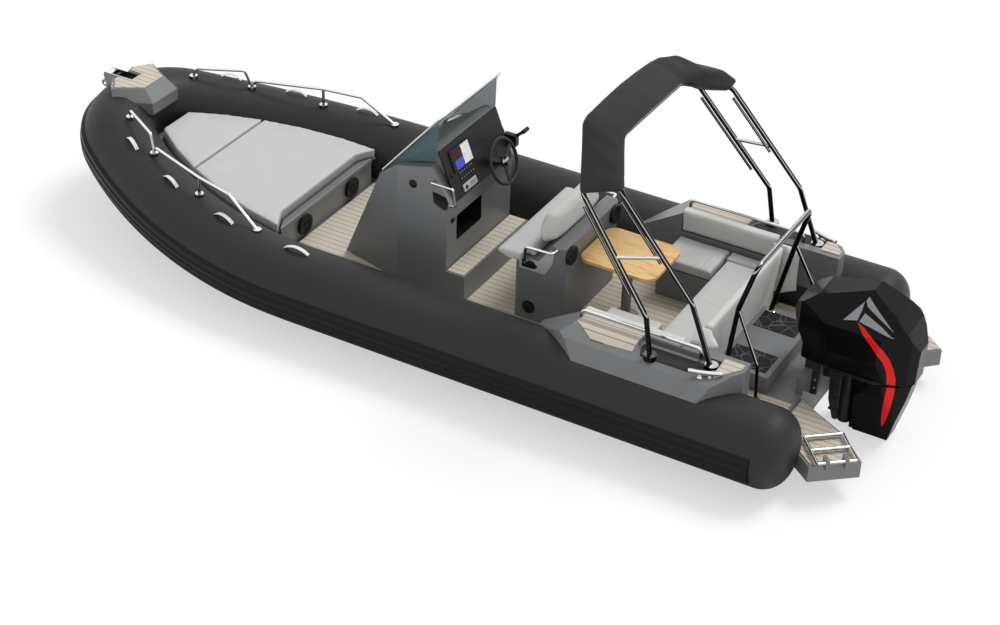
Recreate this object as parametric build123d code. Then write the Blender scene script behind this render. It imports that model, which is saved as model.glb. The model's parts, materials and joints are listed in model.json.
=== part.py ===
from build123d import *
import os
from math import atan2, cos, degrees, radians, sin

# Rigid inflatable boat with a helm console, a U-shaped aft cockpit and an outboard engine.
# +X is forward, +Y is port, +Z is up. z = 0 is the waterline, y = 0 the centreline and
# x = 0 the transom. Millimetres.

# ---------------------------------------------------------------- driving dimensions
TUBE_RADIUS = 297        # air tube
TUBE_Y = 1050            # half spacing of the two tube axes
TUBE_Z = 340             # tube axis above the water
TUBE_TIP_X = -250        # aft end of the tube
TUBE_END_ROUND = 200     # rounding of the tube's aft end
BEND_X = 3800            # where the side tube starts to bend inboard
BEND_RADIUS = 3840       # long bend of the side tube
BEND_ANGLE = 33.7        # how far the long bend turns
BEND_TILT = 22.8         # the long bend's plane climbs inboard by this angle
SOLE_Z = 250             # cockpit sole, the top of the hull
TEAK = 8                 # thickness of the teak-look sheet
FLOOR_Z = SOLE_Z + TEAK
RAIL = 25                # diameter of the stainless rails
ARCH = 38                # diameter of the roll bar's tube
ENGINE_TILT = (20, 485)   # x, z of the tilt pin
STEER_X = -235           # steering axis
PROP_Z = -505            # propeller shaft

PARTS = {}


# ---------------------------------------------------------------- helpers
def keep(name, *shapes):
    """Store one node: a list of solids that ride together."""
    solids = []
    for shape in shapes:
        solids += list(shape.solids())
    PARTS[name] = solids[0] if len(solids) == 1 else Compound(children=solids)


def vec(*xyz):
    return Vector(*xyz)


def box(x0, x1, y0, y1, z0, z1):
    """A block between two opposite corners."""
    size = (x1 - x0, y1 - y0, z1 - z0)
    return Pos((x0 + x1) / 2, (y0 + y1) / 2, (z0 + z1) / 2) * Box(*size)


def plate(points, z0, z1, rounding=0):
    """A plan outline in x, y raised from z0 to z1."""
    face = make_face(Polyline(*points, close=True))
    if rounding:
        face = fillet(face.vertices(), rounding)
    return extrude(Pos(0, 0, z0) * face, z1 - z0, dir=(0, 0, 1))


def side_slab(points, y0, y1, rounding=0):
    """A side outline in x, z carried across from y0 to y1."""
    face = make_face(Polyline(*[(x, z) for x, z in points], close=True))
    if rounding:
        face = fillet(face.vertices(), rounding)
    face = Plane((0, y0, 0), x_dir=(1, 0, 0), z_dir=(0, -1, 0)) * face
    return extrude(face, y1 - y0, dir=(0, 1, 0))


def cross_slab(points, x0, x1, rounding=0):
    """A cross-section in y, z carried forward from x0 to x1."""
    face = make_face(Polyline(*points, close=True))
    if rounding:
        face = fillet(face.vertices(), rounding)
    face = Plane((x0, 0, 0), x_dir=(0, 1, 0), z_dir=(1, 0, 0)) * face
    return extrude(face, x1 - x0, dir=(1, 0, 0))


def port_starboard(shape):
    """The shape and its mirror image about the centreline."""
    return [shape, mirror(shape, about=Plane.XZ)]


def rod(start, end, diameter):
    """A straight round bar between two points."""
    start, end = vec(*start), vec(*end)
    plane = Plane(start, z_dir=end - start)
    return extrude(plane * Circle(diameter / 2), (end - start).length, dir=end - start)


def bent_tube(points, diameter, bend):
    """A round tube through points, with one bend radius at its corners."""
    path = FilletPolyline(*points, radius=bend)
    start = vec(*points[0])
    plane = Plane(start, z_dir=vec(*points[1]) - start)
    return sweep(plane * Circle(diameter / 2), path=path)


def disc(centre, normal, diameter, thickness):
    plane = Plane(vec(*centre), z_dir=vec(*normal))
    return extrude(plane * Circle(diameter / 2), thickness, dir=vec(*normal))


# ---------------------------------------------------------------- air tubes and rub strake
TILT = radians(BEND_TILT)
TURN = radians(BEND_ANGLE)
INBOARD = vec(0, -cos(TILT), sin(TILT))
BEND_START = vec(BEND_X, TUBE_Y, TUBE_Z)
BEND_AXIS = Axis(BEND_START + INBOARD * BEND_RADIUS, vec(0, -sin(TILT), -cos(TILT)))
BEND_END = BEND_START + vec(1, 0, 0) * BEND_RADIUS * sin(TURN) + INBOARD * BEND_RADIUS * (1 - cos(TURN))
HEADING = vec(cos(TURN), 0, 0) + INBOARD * sin(TURN)
FORWARD = vec(HEADING.X, 0, HEADING.Z).normalized()
NOSE_START = atan2(-HEADING.Y, HEADING.dot(FORWARD))
NOSE_RADIUS = BEND_END.Y / cos(NOSE_START)
NOSE_CENTRE = BEND_END - (FORWARD * sin(NOSE_START) + vec(0, 1, 0) * cos(NOSE_START)) * NOSE_RADIUS
NOSE_AXIS = Axis(NOSE_CENTRE, vec(0, 1, 0).cross(FORWARD))
NOSE_ANGLE = 90 - degrees(NOSE_START)


def tube_axis(x):
    """The tube's centre on the port side, at a given x in the straight or the long bend."""
    if x <= BEND_X:
        return vec(x, TUBE_Y, TUBE_Z)
    turn = (x - BEND_X) / BEND_RADIUS
    lateral = BEND_RADIUS * (1 - (1 - turn * turn) ** 0.5)
    return vec(x, TUBE_Y, TUBE_Z) + INBOARD * lateral


def on_tube(x, inboard, height=0):
    """A point on the tube's skin, turned inboard from its top by an angle in degrees."""
    reach = TUBE_RADIUS + height
    return tube_axis(x) + vec(0, -sin(radians(inboard)), cos(radians(inboard))) * reach


def follow_tube(face):
    """Carry a section at BEND_X round the port bend, and from there round the whole nose."""
    long_bend = revolve(face, BEND_AXIS, BEND_ANGLE)
    nose = revolve(face.rotate(BEND_AXIS, BEND_ANGLE), NOSE_AXIS, 2 * NOSE_ANGLE)
    return long_bend, nose


def make_tubes():
    flat = TUBE_RADIUS - TUBE_END_ROUND
    centre_x = TUBE_TIP_X + TUBE_END_ROUND
    lean = TUBE_END_ROUND * sin(radians(45))
    end = ThreePointArc((TUBE_TIP_X, flat), (centre_x - lean, flat + lean), (centre_x, TUBE_RADIUS))
    rest = Polyline((centre_x, TUBE_RADIUS), (BEND_X, TUBE_RADIUS), (BEND_X, 0), (TUBE_TIP_X, 0), (TUBE_TIP_X, flat))
    side = make_face(Curve() + [end, rest])
    straight = Pos(0, TUBE_Y, TUBE_Z) * revolve(side, Axis.X, 360)
    section = Plane(BEND_START, x_dir=(0, 1, 0), z_dir=(1, 0, 0)) * Circle(TUBE_RADIUS)
    long_bend, nose = follow_tube(section)
    port, starboard = port_starboard(straight + long_bend)
    return port, starboard, nose


def ring_point(radius, angle):
    """A point about the tube's axis, the angle measured up from outboard."""
    return radius * cos(radians(angle)), radius * sin(radians(angle))


STRAKE_END_X = -40


def make_strake():
    """A ribbed rubbing band, four ridges wide, along the outboard side of the tubes."""
    top, bottom, ridges, land, rise = 14, -30, 4, 2.2, 11
    band = TUBE_RADIUS + 13
    pitch = (top - bottom) / ridges
    outline = [ring_point(TUBE_RADIUS, bottom)]
    for ridge in range(ridges):
        low = bottom + ridge * pitch
        outline += [ring_point(band, low), ring_point(band + rise, low + land)]
        outline += [ring_point(band + rise, low + pitch - 2 * land), ring_point(band, low + pitch - land)]
    outline.append(ring_point(TUBE_RADIUS, top))
    inner = ThreePointArc(outline[-1], ring_point(TUBE_RADIUS, (top + bottom) / 2), outline[0])
    section = make_face(Curve() + [Polyline(*outline), inner])
    section = Plane(BEND_START, x_dir=(0, 1, 0), z_dir=(1, 0, 0)) * section
    straight = extrude(section, BEND_X - STRAKE_END_X, dir=(-1, 0, 0))
    long_bend, nose = follow_tube(section)
    port, starboard = port_starboard(straight + long_bend)
    return port + nose + starboard


def nose_halves():
    """The nose in two halves, which cut other solids more surely than the whole ring."""
    section = Plane(BEND_START, x_dir=(0, 1, 0), z_dir=(1, 0, 0)) * Circle(TUBE_RADIUS)
    return port_starboard(revolve(section.rotate(BEND_AXIS, BEND_ANGLE), NOSE_AXIS, NOSE_ANGLE))


tube_port, tube_starboard, tube_bow = make_tubes()
CUTTERS = [tube_port, tube_starboard] + nose_halves()
keep("tube_port", tube_port)
keep("tube_starboard", tube_starboard)
keep("tube_bow", tube_bow)
keep("rub_strake", make_strake())


def clear_of_tubes(shape):
    for tube in CUTTERS:
        shape = shape - tube
    return shape


# ---------------------------------------------------------------- hull and sole
# x, keel z, chine y, chine z, sheer y, sheer z
STATIONS = [
    (0, -330, 800, 10, 890, SOLE_Z),
    (2400, -330, 800, 20, 890, SOLE_Z),
    (3800, -290, 780, 60, 880, SOLE_Z),
    (4700, -200, 640, 150, 740, SOLE_Z),
    (5350, -60, 440, 290, 520, 400),
    (5850, 150, 230, 430, 300, 520),
    (6180, 400, 60, 560, 80, 640),
]


def make_hull():
    """A deep vee with hard chines, its topsides hollowed to take the tubes."""
    sections = []
    for x, keel_z, chine_y, chine_z, sheer_y, sheer_z in STATIONS:
        points = [(0, keel_z), (chine_y, chine_z), (sheer_y, sheer_z)]
        points += [(-sheer_y, sheer_z), (-chine_y, chine_z)]
        plane = Plane((x, 0, 0), x_dir=(0, 1, 0), z_dir=(1, 0, 0))
        sections.append(plane * make_face(Polyline(*points, close=True)))
    body = loft(sections, ruled=True)
    return clear_of_tubes(body)


hull = make_hull()
keep("hull", hull)

SOLE = [(700, -740), (4240, -740), (4240, 740), (700, 740)]
teak = [clear_of_tubes(plate(SOLE, SOLE_Z, FLOOR_Z))]

# ---------------------------------------------------------------- bow: step, fittings, locker, pads
STEP_TOP = [(5935, 130), (6165, 268), (6270, 130), (6255, 52), (6135, 52)]
STEP_FOOT = [(5840, 165), (6150, 305), (6300, 140), (6285, 56), (6125, 56)]
STEP_Z = 992


def both_sides(points):
    """A half outline on the port side, closed with its mirror image."""
    return points + [(x, -y) for x, y in reversed(points)]


def make_bow_step():
    foot = Pos(0, 0, 800) * make_face(Polyline(*both_sides(STEP_FOOT), close=True))
    waist = Pos(0, 0, 900) * make_face(Polyline(*both_sides(STEP_FOOT), close=True))
    top = Pos(0, 0, STEP_Z) * make_face(Polyline(*both_sides(STEP_TOP), close=True))
    return clear_of_tubes(loft([foot, waist], ruled=True) + loft([waist, top], ruled=True))


bow_step = make_bow_step()
keep("bow_step", bow_step)
step_inset = [(5952, 118), (6158, 246), (6250, 124), (6238, 66), (6120, 66)]
teak.append(plate(both_sides(step_inset), STEP_Z, STEP_Z + TEAK))

roller_cheeks = [box(6120, 6420, side - 4, side + 4, 900, 985) for side in (-50, 50)]
roller = Pos(6400, 0, 950) * Rot(90, 0, 0) * Cylinder(34, 92)
roller_floor = box(6120, 6390, -46, 46, 896, 904)
EYE_X, EYE_Z, EYE_HOLE = 6462, 850, 13
bow_eye = Pos(EYE_X, 0, EYE_Z) * Rot(90, 0, 0) * Cylinder(30, 14) + box(6400, EYE_X, -7, 7, 820, 900)
bow_eye = bow_eye - Pos(EYE_X, 0, EYE_Z) * Rot(90, 0, 0) * Cylinder(EYE_HOLE, 20)
roller_bed = roller_cheeks[0] + roller_cheeks[1] + roller + roller_floor
keep("bow_fittings", clear_of_tubes(roller_bed + bow_eye) - bow_step)

PAD_AFT_X = 4250         # aft corners of the sun pad, its lowest edge
PAD_Z = 550              # top of the pad there
PAD_SLOPE = 6.2          # the sun pad climbs towards the bow
PAD_THICK = 82
LID_THICK = 20
PAD_AFT = [(4330, 534), (4250, 715), (4560, 680), (4900, 600), (5213, 483)]
PAD_FORWARD = [(5217, 481), (5500, 345), (5755, 175)]
LOCKER = [(4262, 650), (4600, 630), (4900, 560), (5215, 440)]
LOCKER_INSIDE = [(4282, 630), (4600, 608), (4890, 542), (5195, 425)]


def climbing(shape):
    """Tilts what was modelled level at the pad's aft edge onto the climbing plane of the sun pad."""
    return shape.rotate(Axis((PAD_AFT_X, 0, PAD_Z), (0, 1, 0)), -PAD_SLOPE)


def make_bow_locker():
    lid_under = PAD_Z - PAD_THICK - LID_THICK
    above = climbing(box(4000, 6200, -1000, 1000, lid_under - 1, PAD_Z + 600))
    wall = plate(both_sides(LOCKER), SOLE_Z, PAD_Z + 200) - plate(both_sides(LOCKER_INSIDE), SOLE_Z - 20, PAD_Z + 300)
    fore_deck = climbing(plate(both_sides(PAD_FORWARD), lid_under - 24, PAD_Z - PAD_THICK))
    ledge = climbing(plate(both_sides([(5190, 425), (5235, 470)]), lid_under - 24, lid_under - 1))
    return clear_of_tubes((wall - above) + fore_deck + ledge - hull)


keep("bow_locker", make_bow_locker())
keep("bow_locker_lid", climbing(plate(both_sides(PAD_AFT), PAD_Z - PAD_THICK - LID_THICK, PAD_Z - PAD_THICK)))
keep("bow_pad_aft", climbing(plate(both_sides(PAD_AFT), PAD_Z - PAD_THICK, PAD_Z)))
keep("bow_pad_forward", clear_of_tubes(climbing(plate(both_sides(PAD_FORWARD), PAD_Z - PAD_THICK, PAD_Z))))


def tube_foot(point):
    """The round foot of a rail, standing on the tube."""
    x, y, z = point
    return Pos(x, y, z) * Cylinder(34, 40)


def make_bow_rails():
    feet = [(5868, 425, 880), (5450, 668, 790), (4870, 869, 698), (4244, 989, 640)]
    short = bent_tube([(5868, 425, 890), (5850, 440, 960), (5500, 640, 950), (5450, 668, 800)], RAIL, 25)
    long = bent_tube([(5450, 668, 800), (5420, 680, 860), (4870, 868, 858), (4533, 938, 845), (4244, 989, 650)], RAIL, 24)
    post = rod((4870, 869, 700), (4870, 868, 858), RAIL)
    rail = short + long + post
    for foot in feet:
        rail = rail + tube_foot(foot)
    return clear_of_tubes(rail)


bow_rail = make_bow_rails()
keep("bow_rails", *port_starboard(bow_rail))

# forward x, aft x, inboard angle of each webbing handle
HANDLES = [(5735, 5590, -12), (5225, 5060, -8), (4625, 4440, -6), (3935, 3720, -4)]


def make_handle(fore_x, aft_x, inboard):
    ends = [on_tube(fore_x, inboard, 6), on_tube(aft_x, inboard, 6)]
    middle = on_tube((fore_x + aft_x) / 2, inboard, 42)
    path = ThreePointArc(ends[0], middle, ends[1])
    plane = Plane(ends[0], x_dir=path.tangent_at(0).cross(vec(0, 0, 1)), z_dir=path.tangent_at(0))
    return sweep(plane * Rectangle(32, 5), path=path)


handles = []
for fore_x, aft_x, inboard in HANDLES:
    handles += port_starboard(make_handle(fore_x, aft_x, inboard))
keep("tube_handles", *handles)

speakers = [disc((4262, y, 368), (-1, 0, 0), 175, 14) for y in (-340, 340)]

# ---------------------------------------------------------------- console, dash, windshield, helm
DASH_TOP = (2995, 1440)
DASH_FOOT = (2838, 1060)
CONSOLE_SIDE = [(3930, 98), (3480, 1130), (3310, 1265), (3010, 1340), (2838, 1060), (2865, 900), (2865, 98)]
CONSOLE_PLAN = [(2700, 490), (3300, 490), (3900, 330)]
NICHE = [(-35, 678), (-35, 898), (342, 898), (342, 678)]
DASH_UP = vec(DASH_TOP[0] - DASH_FOOT[0], 0, DASH_TOP[1] - DASH_FOOT[1]).normalized()
DASH_OUT = vec(-DASH_UP.Z, 0, DASH_UP.X)


def make_console():
    body = side_slab(CONSOLE_SIDE, -500, 500, rounding=28)
    body = body & plate(both_sides(CONSOLE_PLAN), FLOOR_Z, 1500, rounding=45)
    return body - cross_slab(NICHE, 2800, 3160, rounding=22)


console = make_console()
hood = side_slab([(3310, 1262), (3060, 1452), DASH_TOP, (2905, 1222), (3010, 1330)], -400, 400)
panel_foot = vec(DASH_FOOT[0], 0, DASH_FOOT[1])


def dash_point(up, out):
    point = panel_foot + DASH_UP * up + DASH_OUT * out
    return point.X, point.Z


DASH_HEIGHT = (vec(DASH_TOP[0], 0, DASH_TOP[1]) - panel_foot).length
panel = side_slab([dash_point(0, 0), dash_point(0, 16), dash_point(DASH_HEIGHT, 16), dash_point(DASH_HEIGHT, 0)], -420, 420)
console = console + hood
keep("console", console)
keep("dash_panel", panel)
screen = side_slab([dash_point(190, 16), dash_point(190, 24), dash_point(365, 24), dash_point(365, 16)], 60, 330)
keep("display", screen)
column_foot = panel_foot + DASH_UP * 62 + DASH_OUT * 16 + vec(0, -160, 0)
WHEEL_CENTRE = column_foot + DASH_OUT * 102
HUB_HALF = 20
column = rod(column_foot, WHEEL_CENTRE - DASH_OUT * (HUB_HALF + 1), 70)

WHEEL_RADIUS = 190


def make_wheel():
    """Rim, three spokes and hub, made flat and then leaned to face the helm seat."""
    rim = Torus(WHEEL_RADIUS - 14, 14)
    hub = Cylinder(45, 2 * HUB_HALF)
    wheel = rim + hub
    for spoke in range(3):
        arm = Pos((WHEEL_RADIUS - 14) / 2, 0, 0) * Box(WHEEL_RADIUS - 24, 34, 12)
        wheel = wheel + Rot(0, 0, 90 + spoke * 120) * arm
    plane = Plane(WHEEL_CENTRE, x_dir=(0, 1, 0), z_dir=DASH_OUT)
    return plane * wheel


keep("helm_wheel", make_wheel())

lever_foot = vec(2850, -446, 1190)
throttle = Pos(*lever_foot) * Box(110, 46, 90)
throttle = throttle + rod(lever_foot, (2740, -452, 1290), 26) + rod((2740, -430, 1290), (2740, -500, 1290), 34)
keep("helm_controls", throttle - console - panel, column)

PANE_FOOT, PANE_TOP = (3440, 1172), (2985, 1700)
pane_side = [PANE_FOOT, PANE_TOP, (2990, 1400), (3060, 1345), (3310, 1275)]
wing = side_slab(pane_side, 424, 430)
front_pane = side_slab([PANE_FOOT, PANE_TOP, (PANE_TOP[0] - 8, PANE_TOP[1] - 7), (PANE_FOOT[0] - 8, PANE_FOOT[1] - 7)], -430, 430)
glass = front_pane + wing + mirror(wing, about=Plane.XZ)
keep("windshield", glass - console)
rail_points = [(3455, 441, 1160), (2955, 441, 1745), (2955, -441, 1745), (3455, -441, 1160)]
pane_rail = bent_tube(rail_points, 22, 40) - console - glass

console_rail = bent_tube([(3000, 488, 1215), (2985, 520, 1228), (2800, 520, 1228), (2772, 520, 1090), (2850, 488, 1060)], 20, 16)
keep("console_rails", pane_rail, console_rail - console)

keep("console_step", plate([(2700, -495), (2864, -495), (2864, 495), (2700, 495)], FLOOR_Z, 482))
teak.append(plate([(2712, -480), (2856, -480), (2856, 480), (2712, 480)], 482, 482 + TEAK))

# ---------------------------------------------------------------- helm seat
SEAT_SIDE = [(2305, 180), (2305, 800), (2120, 812), (2000, 962), (1890, 962), (1890, 180)]
SEAT_PLAN = [(1890, 440), (2305, 440)]
seat_base = side_slab(SEAT_SIDE, -440, 440, rounding=18)
seat_base = seat_base & plate(both_sides(SEAT_PLAN), FLOOR_Z, 1000, rounding=40)
keep("helm_seat_base", seat_base)
front_cushion = side_slab([(2425, 835), (2415, 878), (2206, 884), (2206, 808), (2305, 802), (2330, 800)], -545, 545)
keep("helm_seat_cushion", front_cushion + side_slab([(2206, 808), (2206, 884), (2150, 885), (2122, 814)], -430, 430))
keep("helm_backrest", side_slab([(2142, 886), (2170, 1000), (2120, 1160), (2030, 1160), (2002, 964)], -360, 360))
side_rail = bent_tube([(2185, 441, 790), (2185, 510, 800), (2180, 510, 935), (1960, 510, 945), (1950, 441, 945)], 22, 16)
keep("helm_seat_rails", *port_starboard(side_rail - seat_base))
speakers += [disc((1890, y, 880), (-1, 0, 0), 150, 14) for y in (-350, 350)]
keep("speakers", *speakers)

# ---------------------------------------------------------------- table
TABLE = [(1252, -272), (1874, -272), (1874, 272), (1252, 272)]
TABLE_Z = 795
keep("table_top", plate(TABLE, TABLE_Z, TABLE_Z + 24, 90))
table_leg = Pos(1575, 0, (FLOOR_Z + TABLE_Z) / 2) * Cylinder(38, TABLE_Z - FLOOR_Z)
table_foot = Pos(1575, 0, FLOOR_Z + 8) * Cylinder(100, 16)
keep("table_pedestal", table_leg + table_foot)

# ---------------------------------------------------------------- aft benches
SEAT_BASE_TOP = 515
SEAT_TOP = 600
side_bench = box(1080, 1520, 400, 735, FLOOR_Z, SEAT_BASE_TOP)
keep("side_benches", *[clear_of_tubes(piece) for piece in port_starboard(side_bench)])
side_cushion = box(1075, 1515, 395, 775, SEAT_BASE_TOP + 1, SEAT_TOP)
keep("side_cushions", *[clear_of_tubes(piece) for piece in port_starboard(side_cushion)])
AFT_BENCH = box(720, 1050, -735, 735, FLOOR_Z, SEAT_BASE_TOP)
AFT_STORE = box(740, 1030, -640, 640, FLOOR_Z + 2, SEAT_BASE_TOP)
keep("aft_bench", clear_of_tubes(AFT_BENCH - AFT_STORE))
keep("aft_locker_lid", box(728, 1055, -640, 640, SEAT_BASE_TOP + 2, SEAT_BASE_TOP + 18))
keep("aft_cushion", box(728, 1055, -640, 640, SEAT_BASE_TOP + 18, SEAT_TOP))
aft_back = side_slab([(718, 200), (718, 610), (665, 872), (600, 872), (640, 450), (640, 200)], -640, 640, rounding=20)
aft_back = aft_back - box(500, 800, -700, 700, 0, FLOOR_Z)
keep("aft_backrest", aft_back)
side_back = cross_slab([(790, 612), (772, 822), (862, 822), (880, 650)], 720, 1515, rounding=15)
keep("side_backrests", *port_starboard(side_back))

# ---------------------------------------------------------------- side mouldings over the tubes
MOULDING = [(775, 300), (800, 790), (1000, 780), (1120, 720), (1200, 585), (1050, 450)]
# outer edge of the moulding, seen from above, from its aft end forward
MOULDING_PLAN = [(230, 700), (225, 920), (320, 1050), (480, 1220), (1380, 1220), (1640, 1040), (1860, 880), (1860, 700)]


def make_side_moulding():
    """A saddle that caps the tube beside the aft cockpit, with a lower front end."""
    saddle = cross_slab(MOULDING, 200, 1880) & plate(MOULDING_PLAN, 0, 900, rounding=30)
    slope = side_slab([(1480, 900), (1480, 800), (1870, 560), (1870, 900)], 0, 1400)
    recess = plate([(400, 880), (400, 990), (560, 1085), (960, 1085), (1010, 985), (1010, 880)], 752, 900, rounding=20)
    return clear_of_tubes(saddle - slope - recess)


moulding_port = make_side_moulding()
moulding_starboard = mirror(moulding_port, about=Plane.XZ)
keep("side_mouldings", *port_starboard(moulding_port - side_back))

handrail = bent_tube([(1500, 905, 770), (1500, 905, 850), (560, 905, 850), (560, 905, 770)], RAIL, 40)
handrail_port = handrail - moulding_port
keep("moulding_handrails", *port_starboard(handrail_port))

cleat = Pos(455, 1062, 795) * Box(220, 26, 18) + Pos(455, 1062, 768) * Box(80, 24, 60)
keep("cleats", *[item - moulding for item, moulding in zip(port_starboard(cleat), (moulding_port, moulding_starboard))])

# ---------------------------------------------------------------- aft deck, transom and platforms
TRANSOM_TOP = 440
aft_deck = box(0, 638, -740, 740, SOLE_Z, 300) + box(230, 638, -430, 430, 300, TRANSOM_TOP) + box(0, 60, -300, 300, 250, TRANSOM_TOP)
keep("aft_deck", clear_of_tubes(aft_deck))
pads = [box(270, 600, y, y + 230, TRANSOM_TOP, TRANSOM_TOP + 6) for y in (-378, 148)]
keep("well_pads", *pads)
side_teak = plate([(20, 450), (630, 450), (630, 730), (20, 730)], 300, 300 + TEAK)
side_teak = clear_of_tubes(side_teak)

PLATFORM = [(-2, 330), (-120, 400), (-430, 570), (-655, 800), (-365, 1045), (-2, 760)]
PLATFORM_TEAK = [(-20, 345), (-125, 415), (-425, 590), (-635, 802), (-368, 1025), (-20, 742)]
PLATFORM_Z = 292
platform = clear_of_tubes(plate(PLATFORM, 160, PLATFORM_Z))
platform_teak = clear_of_tubes(plate(PLATFORM_TEAK, PLATFORM_Z, PLATFORM_Z + TEAK))
platform_port, platform_starboard = port_starboard(platform)


# Folding boarding ladder on the port platform, hinged on its slanted outer edge.
LADDER_HINGE = vec(-520, 933, 330)
LADDER_ALONG = vec(-655 + 365, 800 - 1045, 0).normalized()
LADDER_OUT = vec(LADDER_ALONG.Y, -LADDER_ALONG.X, 0)
LADDER_WIDTH, LADDER_LENGTH = 280, 300


def ladder_point(along, inward, up=0):
    return LADDER_HINGE + LADDER_ALONG * along - LADDER_OUT * inward + vec(0, 0, up)


def make_ladder():
    half = LADDER_WIDTH / 2
    ladder = None
    for side in (-half, half):
        stile = rod(ladder_point(side, -10), ladder_point(side, LADDER_LENGTH), 24)
        ladder = stile if ladder is None else ladder + stile
    for inward in (-10, 145, LADDER_LENGTH):
        ladder = ladder + rod(ladder_point(-half, inward), ladder_point(half, inward), 26)
    return ladder


ladder = make_ladder()
keep("ladder", ladder)
ladder_lugs = []
for side in (-70, 70):
    centre = ladder_point(side, 12)
    lug = Pos(centre.X, centre.Y, 311) * Rot(0, 0, degrees(atan2(LADDER_ALONG.Y, LADDER_ALONG.X))) * Box(24, 80, 82)
    ladder_lugs.append(lug - rod(ladder_point(-140, -10), ladder_point(140, -10), 27))
keep("platforms", platform_port + ladder_lugs[0] + ladder_lugs[1], platform_starboard)
platform_teak_starboard = mirror(platform_teak, about=Plane.XZ)
for lug in ladder_lugs:
    platform_teak = platform_teak - lug

# ---------------------------------------------------------------- roll bar, cover, stowed rods, ski mast
FORE_FOOT, FORE_BEND, FORE_SHOULDER = (877, 1060, 745), (934, 1050, 1065), (1528, 935, 1800)
AFT_FOOT, AFT_BEND, AFT_SHOULDER = (461, 945, 745), (650, 936, 1207), (1262, 905, 1890)
FORE_TOP, AFT_TOP = (1740, 540, 2120), (1480, 478, 2060)


def across(points):
    """The port half of a hoop, followed by its mirror image."""
    return points + [(x, -y, z) for x, y, z in reversed(points)]


fore_hoop = bent_tube(across([FORE_FOOT, FORE_BEND, FORE_SHOULDER, FORE_TOP]), ARCH, 90)
aft_hoop = bent_tube(across([AFT_FOOT, AFT_BEND, AFT_SHOULDER, AFT_TOP]), ARCH, 90)
TIE_FORE, TIE_AFT = (1225, 994, 1424), (904, 924, 1490)
ties = port_starboard(rod(TIE_FORE, TIE_AFT, 30))
for name, hoop, (x, y, z) in (("roll_bar_fore", fore_hoop, FORE_FOOT), ("roll_bar_aft", aft_hoop, AFT_FOOT)):
    for foot in port_starboard(Pos(x, y, z + 18) * Cylinder(48, 40)):
        hoop = hoop + foot
    keep(name, hoop - moulding_port - moulding_starboard)
keep("roll_bar_ties", *[tie - fore_hoop - aft_hoop for tie in ties])


COVER_THICK = 36         # half thickness of the sleeve
COVER_EDGE = 24          # how far it reaches past the two hoops
# share of the way from a hoop's lower end to its top, and on to the centreline; crown height
COVER_STATIONS = [(0.0, 0.0, 0), (0.88, 0.0, 8), (1.0, 0.10, 10), (1.0, 1.0, 42)]


def cover_section(rise, cross, crown):
    """One rounded section of the sleeve, across both hoops."""
    ends = []
    for shoulder, top in ((FORE_SHOULDER, FORE_TOP), (AFT_SHOULDER, AFT_TOP)):
        point = vec(*shoulder) + (vec(*top) - vec(*shoulder)) * rise
        ends.append(vec(point.X, point.Y * (1 - cross), point.Z + crown))
    lean = vec(0, 0.95 - 0.5 * rise, 0.25 + 0.65 * rise) * (1 - cross) + vec(0, 0, 1) * cross
    wide = (ends[0] - ends[1]).normalized()
    thick = (lean - wide * lean.dot(wide)).normalized()
    centre = (ends[0] + ends[1]) * 0.5
    reach = (ends[0] - ends[1]).length / 2 + COVER_EDGE
    corners = [centre + wide * (a * reach) + thick * (b * COVER_THICK) for a, b in ((1, 1), (1, -1), (-1, -1), (-1, 1))]
    face = make_face(Polyline(*corners, close=True))
    return fillet(face.vertices(), COVER_THICK * 0.8)


def make_cover():
    """The fabric sleeve round the top of both hoops, with the stowed awning inside."""
    sections = [cover_section(*station) for station in COVER_STATIONS]
    half = loft(sections, ruled=True)
    return half + mirror(half, about=Plane.XZ)


keep("roll_bar_cover", make_cover() - fore_hoop - aft_hoop)

stowed = []
for foot, shoulder, length in ((FORE_BEND, FORE_SHOULDER, 0.80), (AFT_BEND, AFT_SHOULDER, 0.62)):
    start, end = vec(*shoulder), vec(*foot)
    run = end - start
    shift = vec(-run.Z, 0, run.X).normalized() * 42
    stay = rod(start + run * 0.08 + shift, start + run * length + shift, 22)
    stowed += port_starboard(stay - fore_hoop - aft_hoop - ties[0])
keep("stowed_rods", *stowed)

# the ski mast stands on two thick forward legs, each with a thin stay behind it
MAST_FOOT, MAST_KNEE, MAST_CORNER = (568, 397, 440), (477, 508, 989), (380, 478, 1345)
MAST_STAY = [MAST_KNEE, (275, 545, 600), (262, 540, 300)]
mast = bent_tube(across([MAST_FOOT, MAST_KNEE, MAST_CORNER]), ARCH, 80)
for stay in port_starboard(bent_tube(MAST_STAY, RAIL, 60)):
    mast = mast + stay
mast = mast - aft_deck - side_teak - mirror(side_teak, about=Plane.XZ)
keep("ski_mast", mast)

# ---------------------------------------------------------------- outboard engine
TILT_X, TILT_Z = ENGINE_TILT
# two clamp plates hook over the transom; the tilt pin joins them ahead of it
CLAMP = [(-50, 230), (0, 230), (0, 441), (62, 441), (62, 505), (-50, 505)]
clamps = port_starboard(side_slab(CLAMP, 110, 150))
pin = rod((TILT_X, -150, TILT_Z), (TILT_X, 150, TILT_Z), 30)
hole = rod((TILT_X, -200, TILT_Z), (TILT_X, 200, TILT_Z), 31)
keep("clamp_bracket", clamps[0] - hole, clamps[1] - hole)
# two wide arms reach back from the tilt pin to a slim column about the steering axis
SWIVEL_ARMS = [(45, 460), (45, 504), (-190, 504), (-190, 400), (-120, 440)]
SWIVEL_COLUMN = 50
swivel = side_slab(SWIVEL_ARMS, -85, 85) + box(STEER_X, -180, -40, 40, 20, 504)
swivel = swivel + Pos(STEER_X, 0, 242) * Cylinder(SWIVEL_COLUMN, 524)
steer_pin = Pos(STEER_X, 0, 230) * Cylinder(33.5, 640)
keep("swivel_bracket", swivel - steer_pin + pin)

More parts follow.
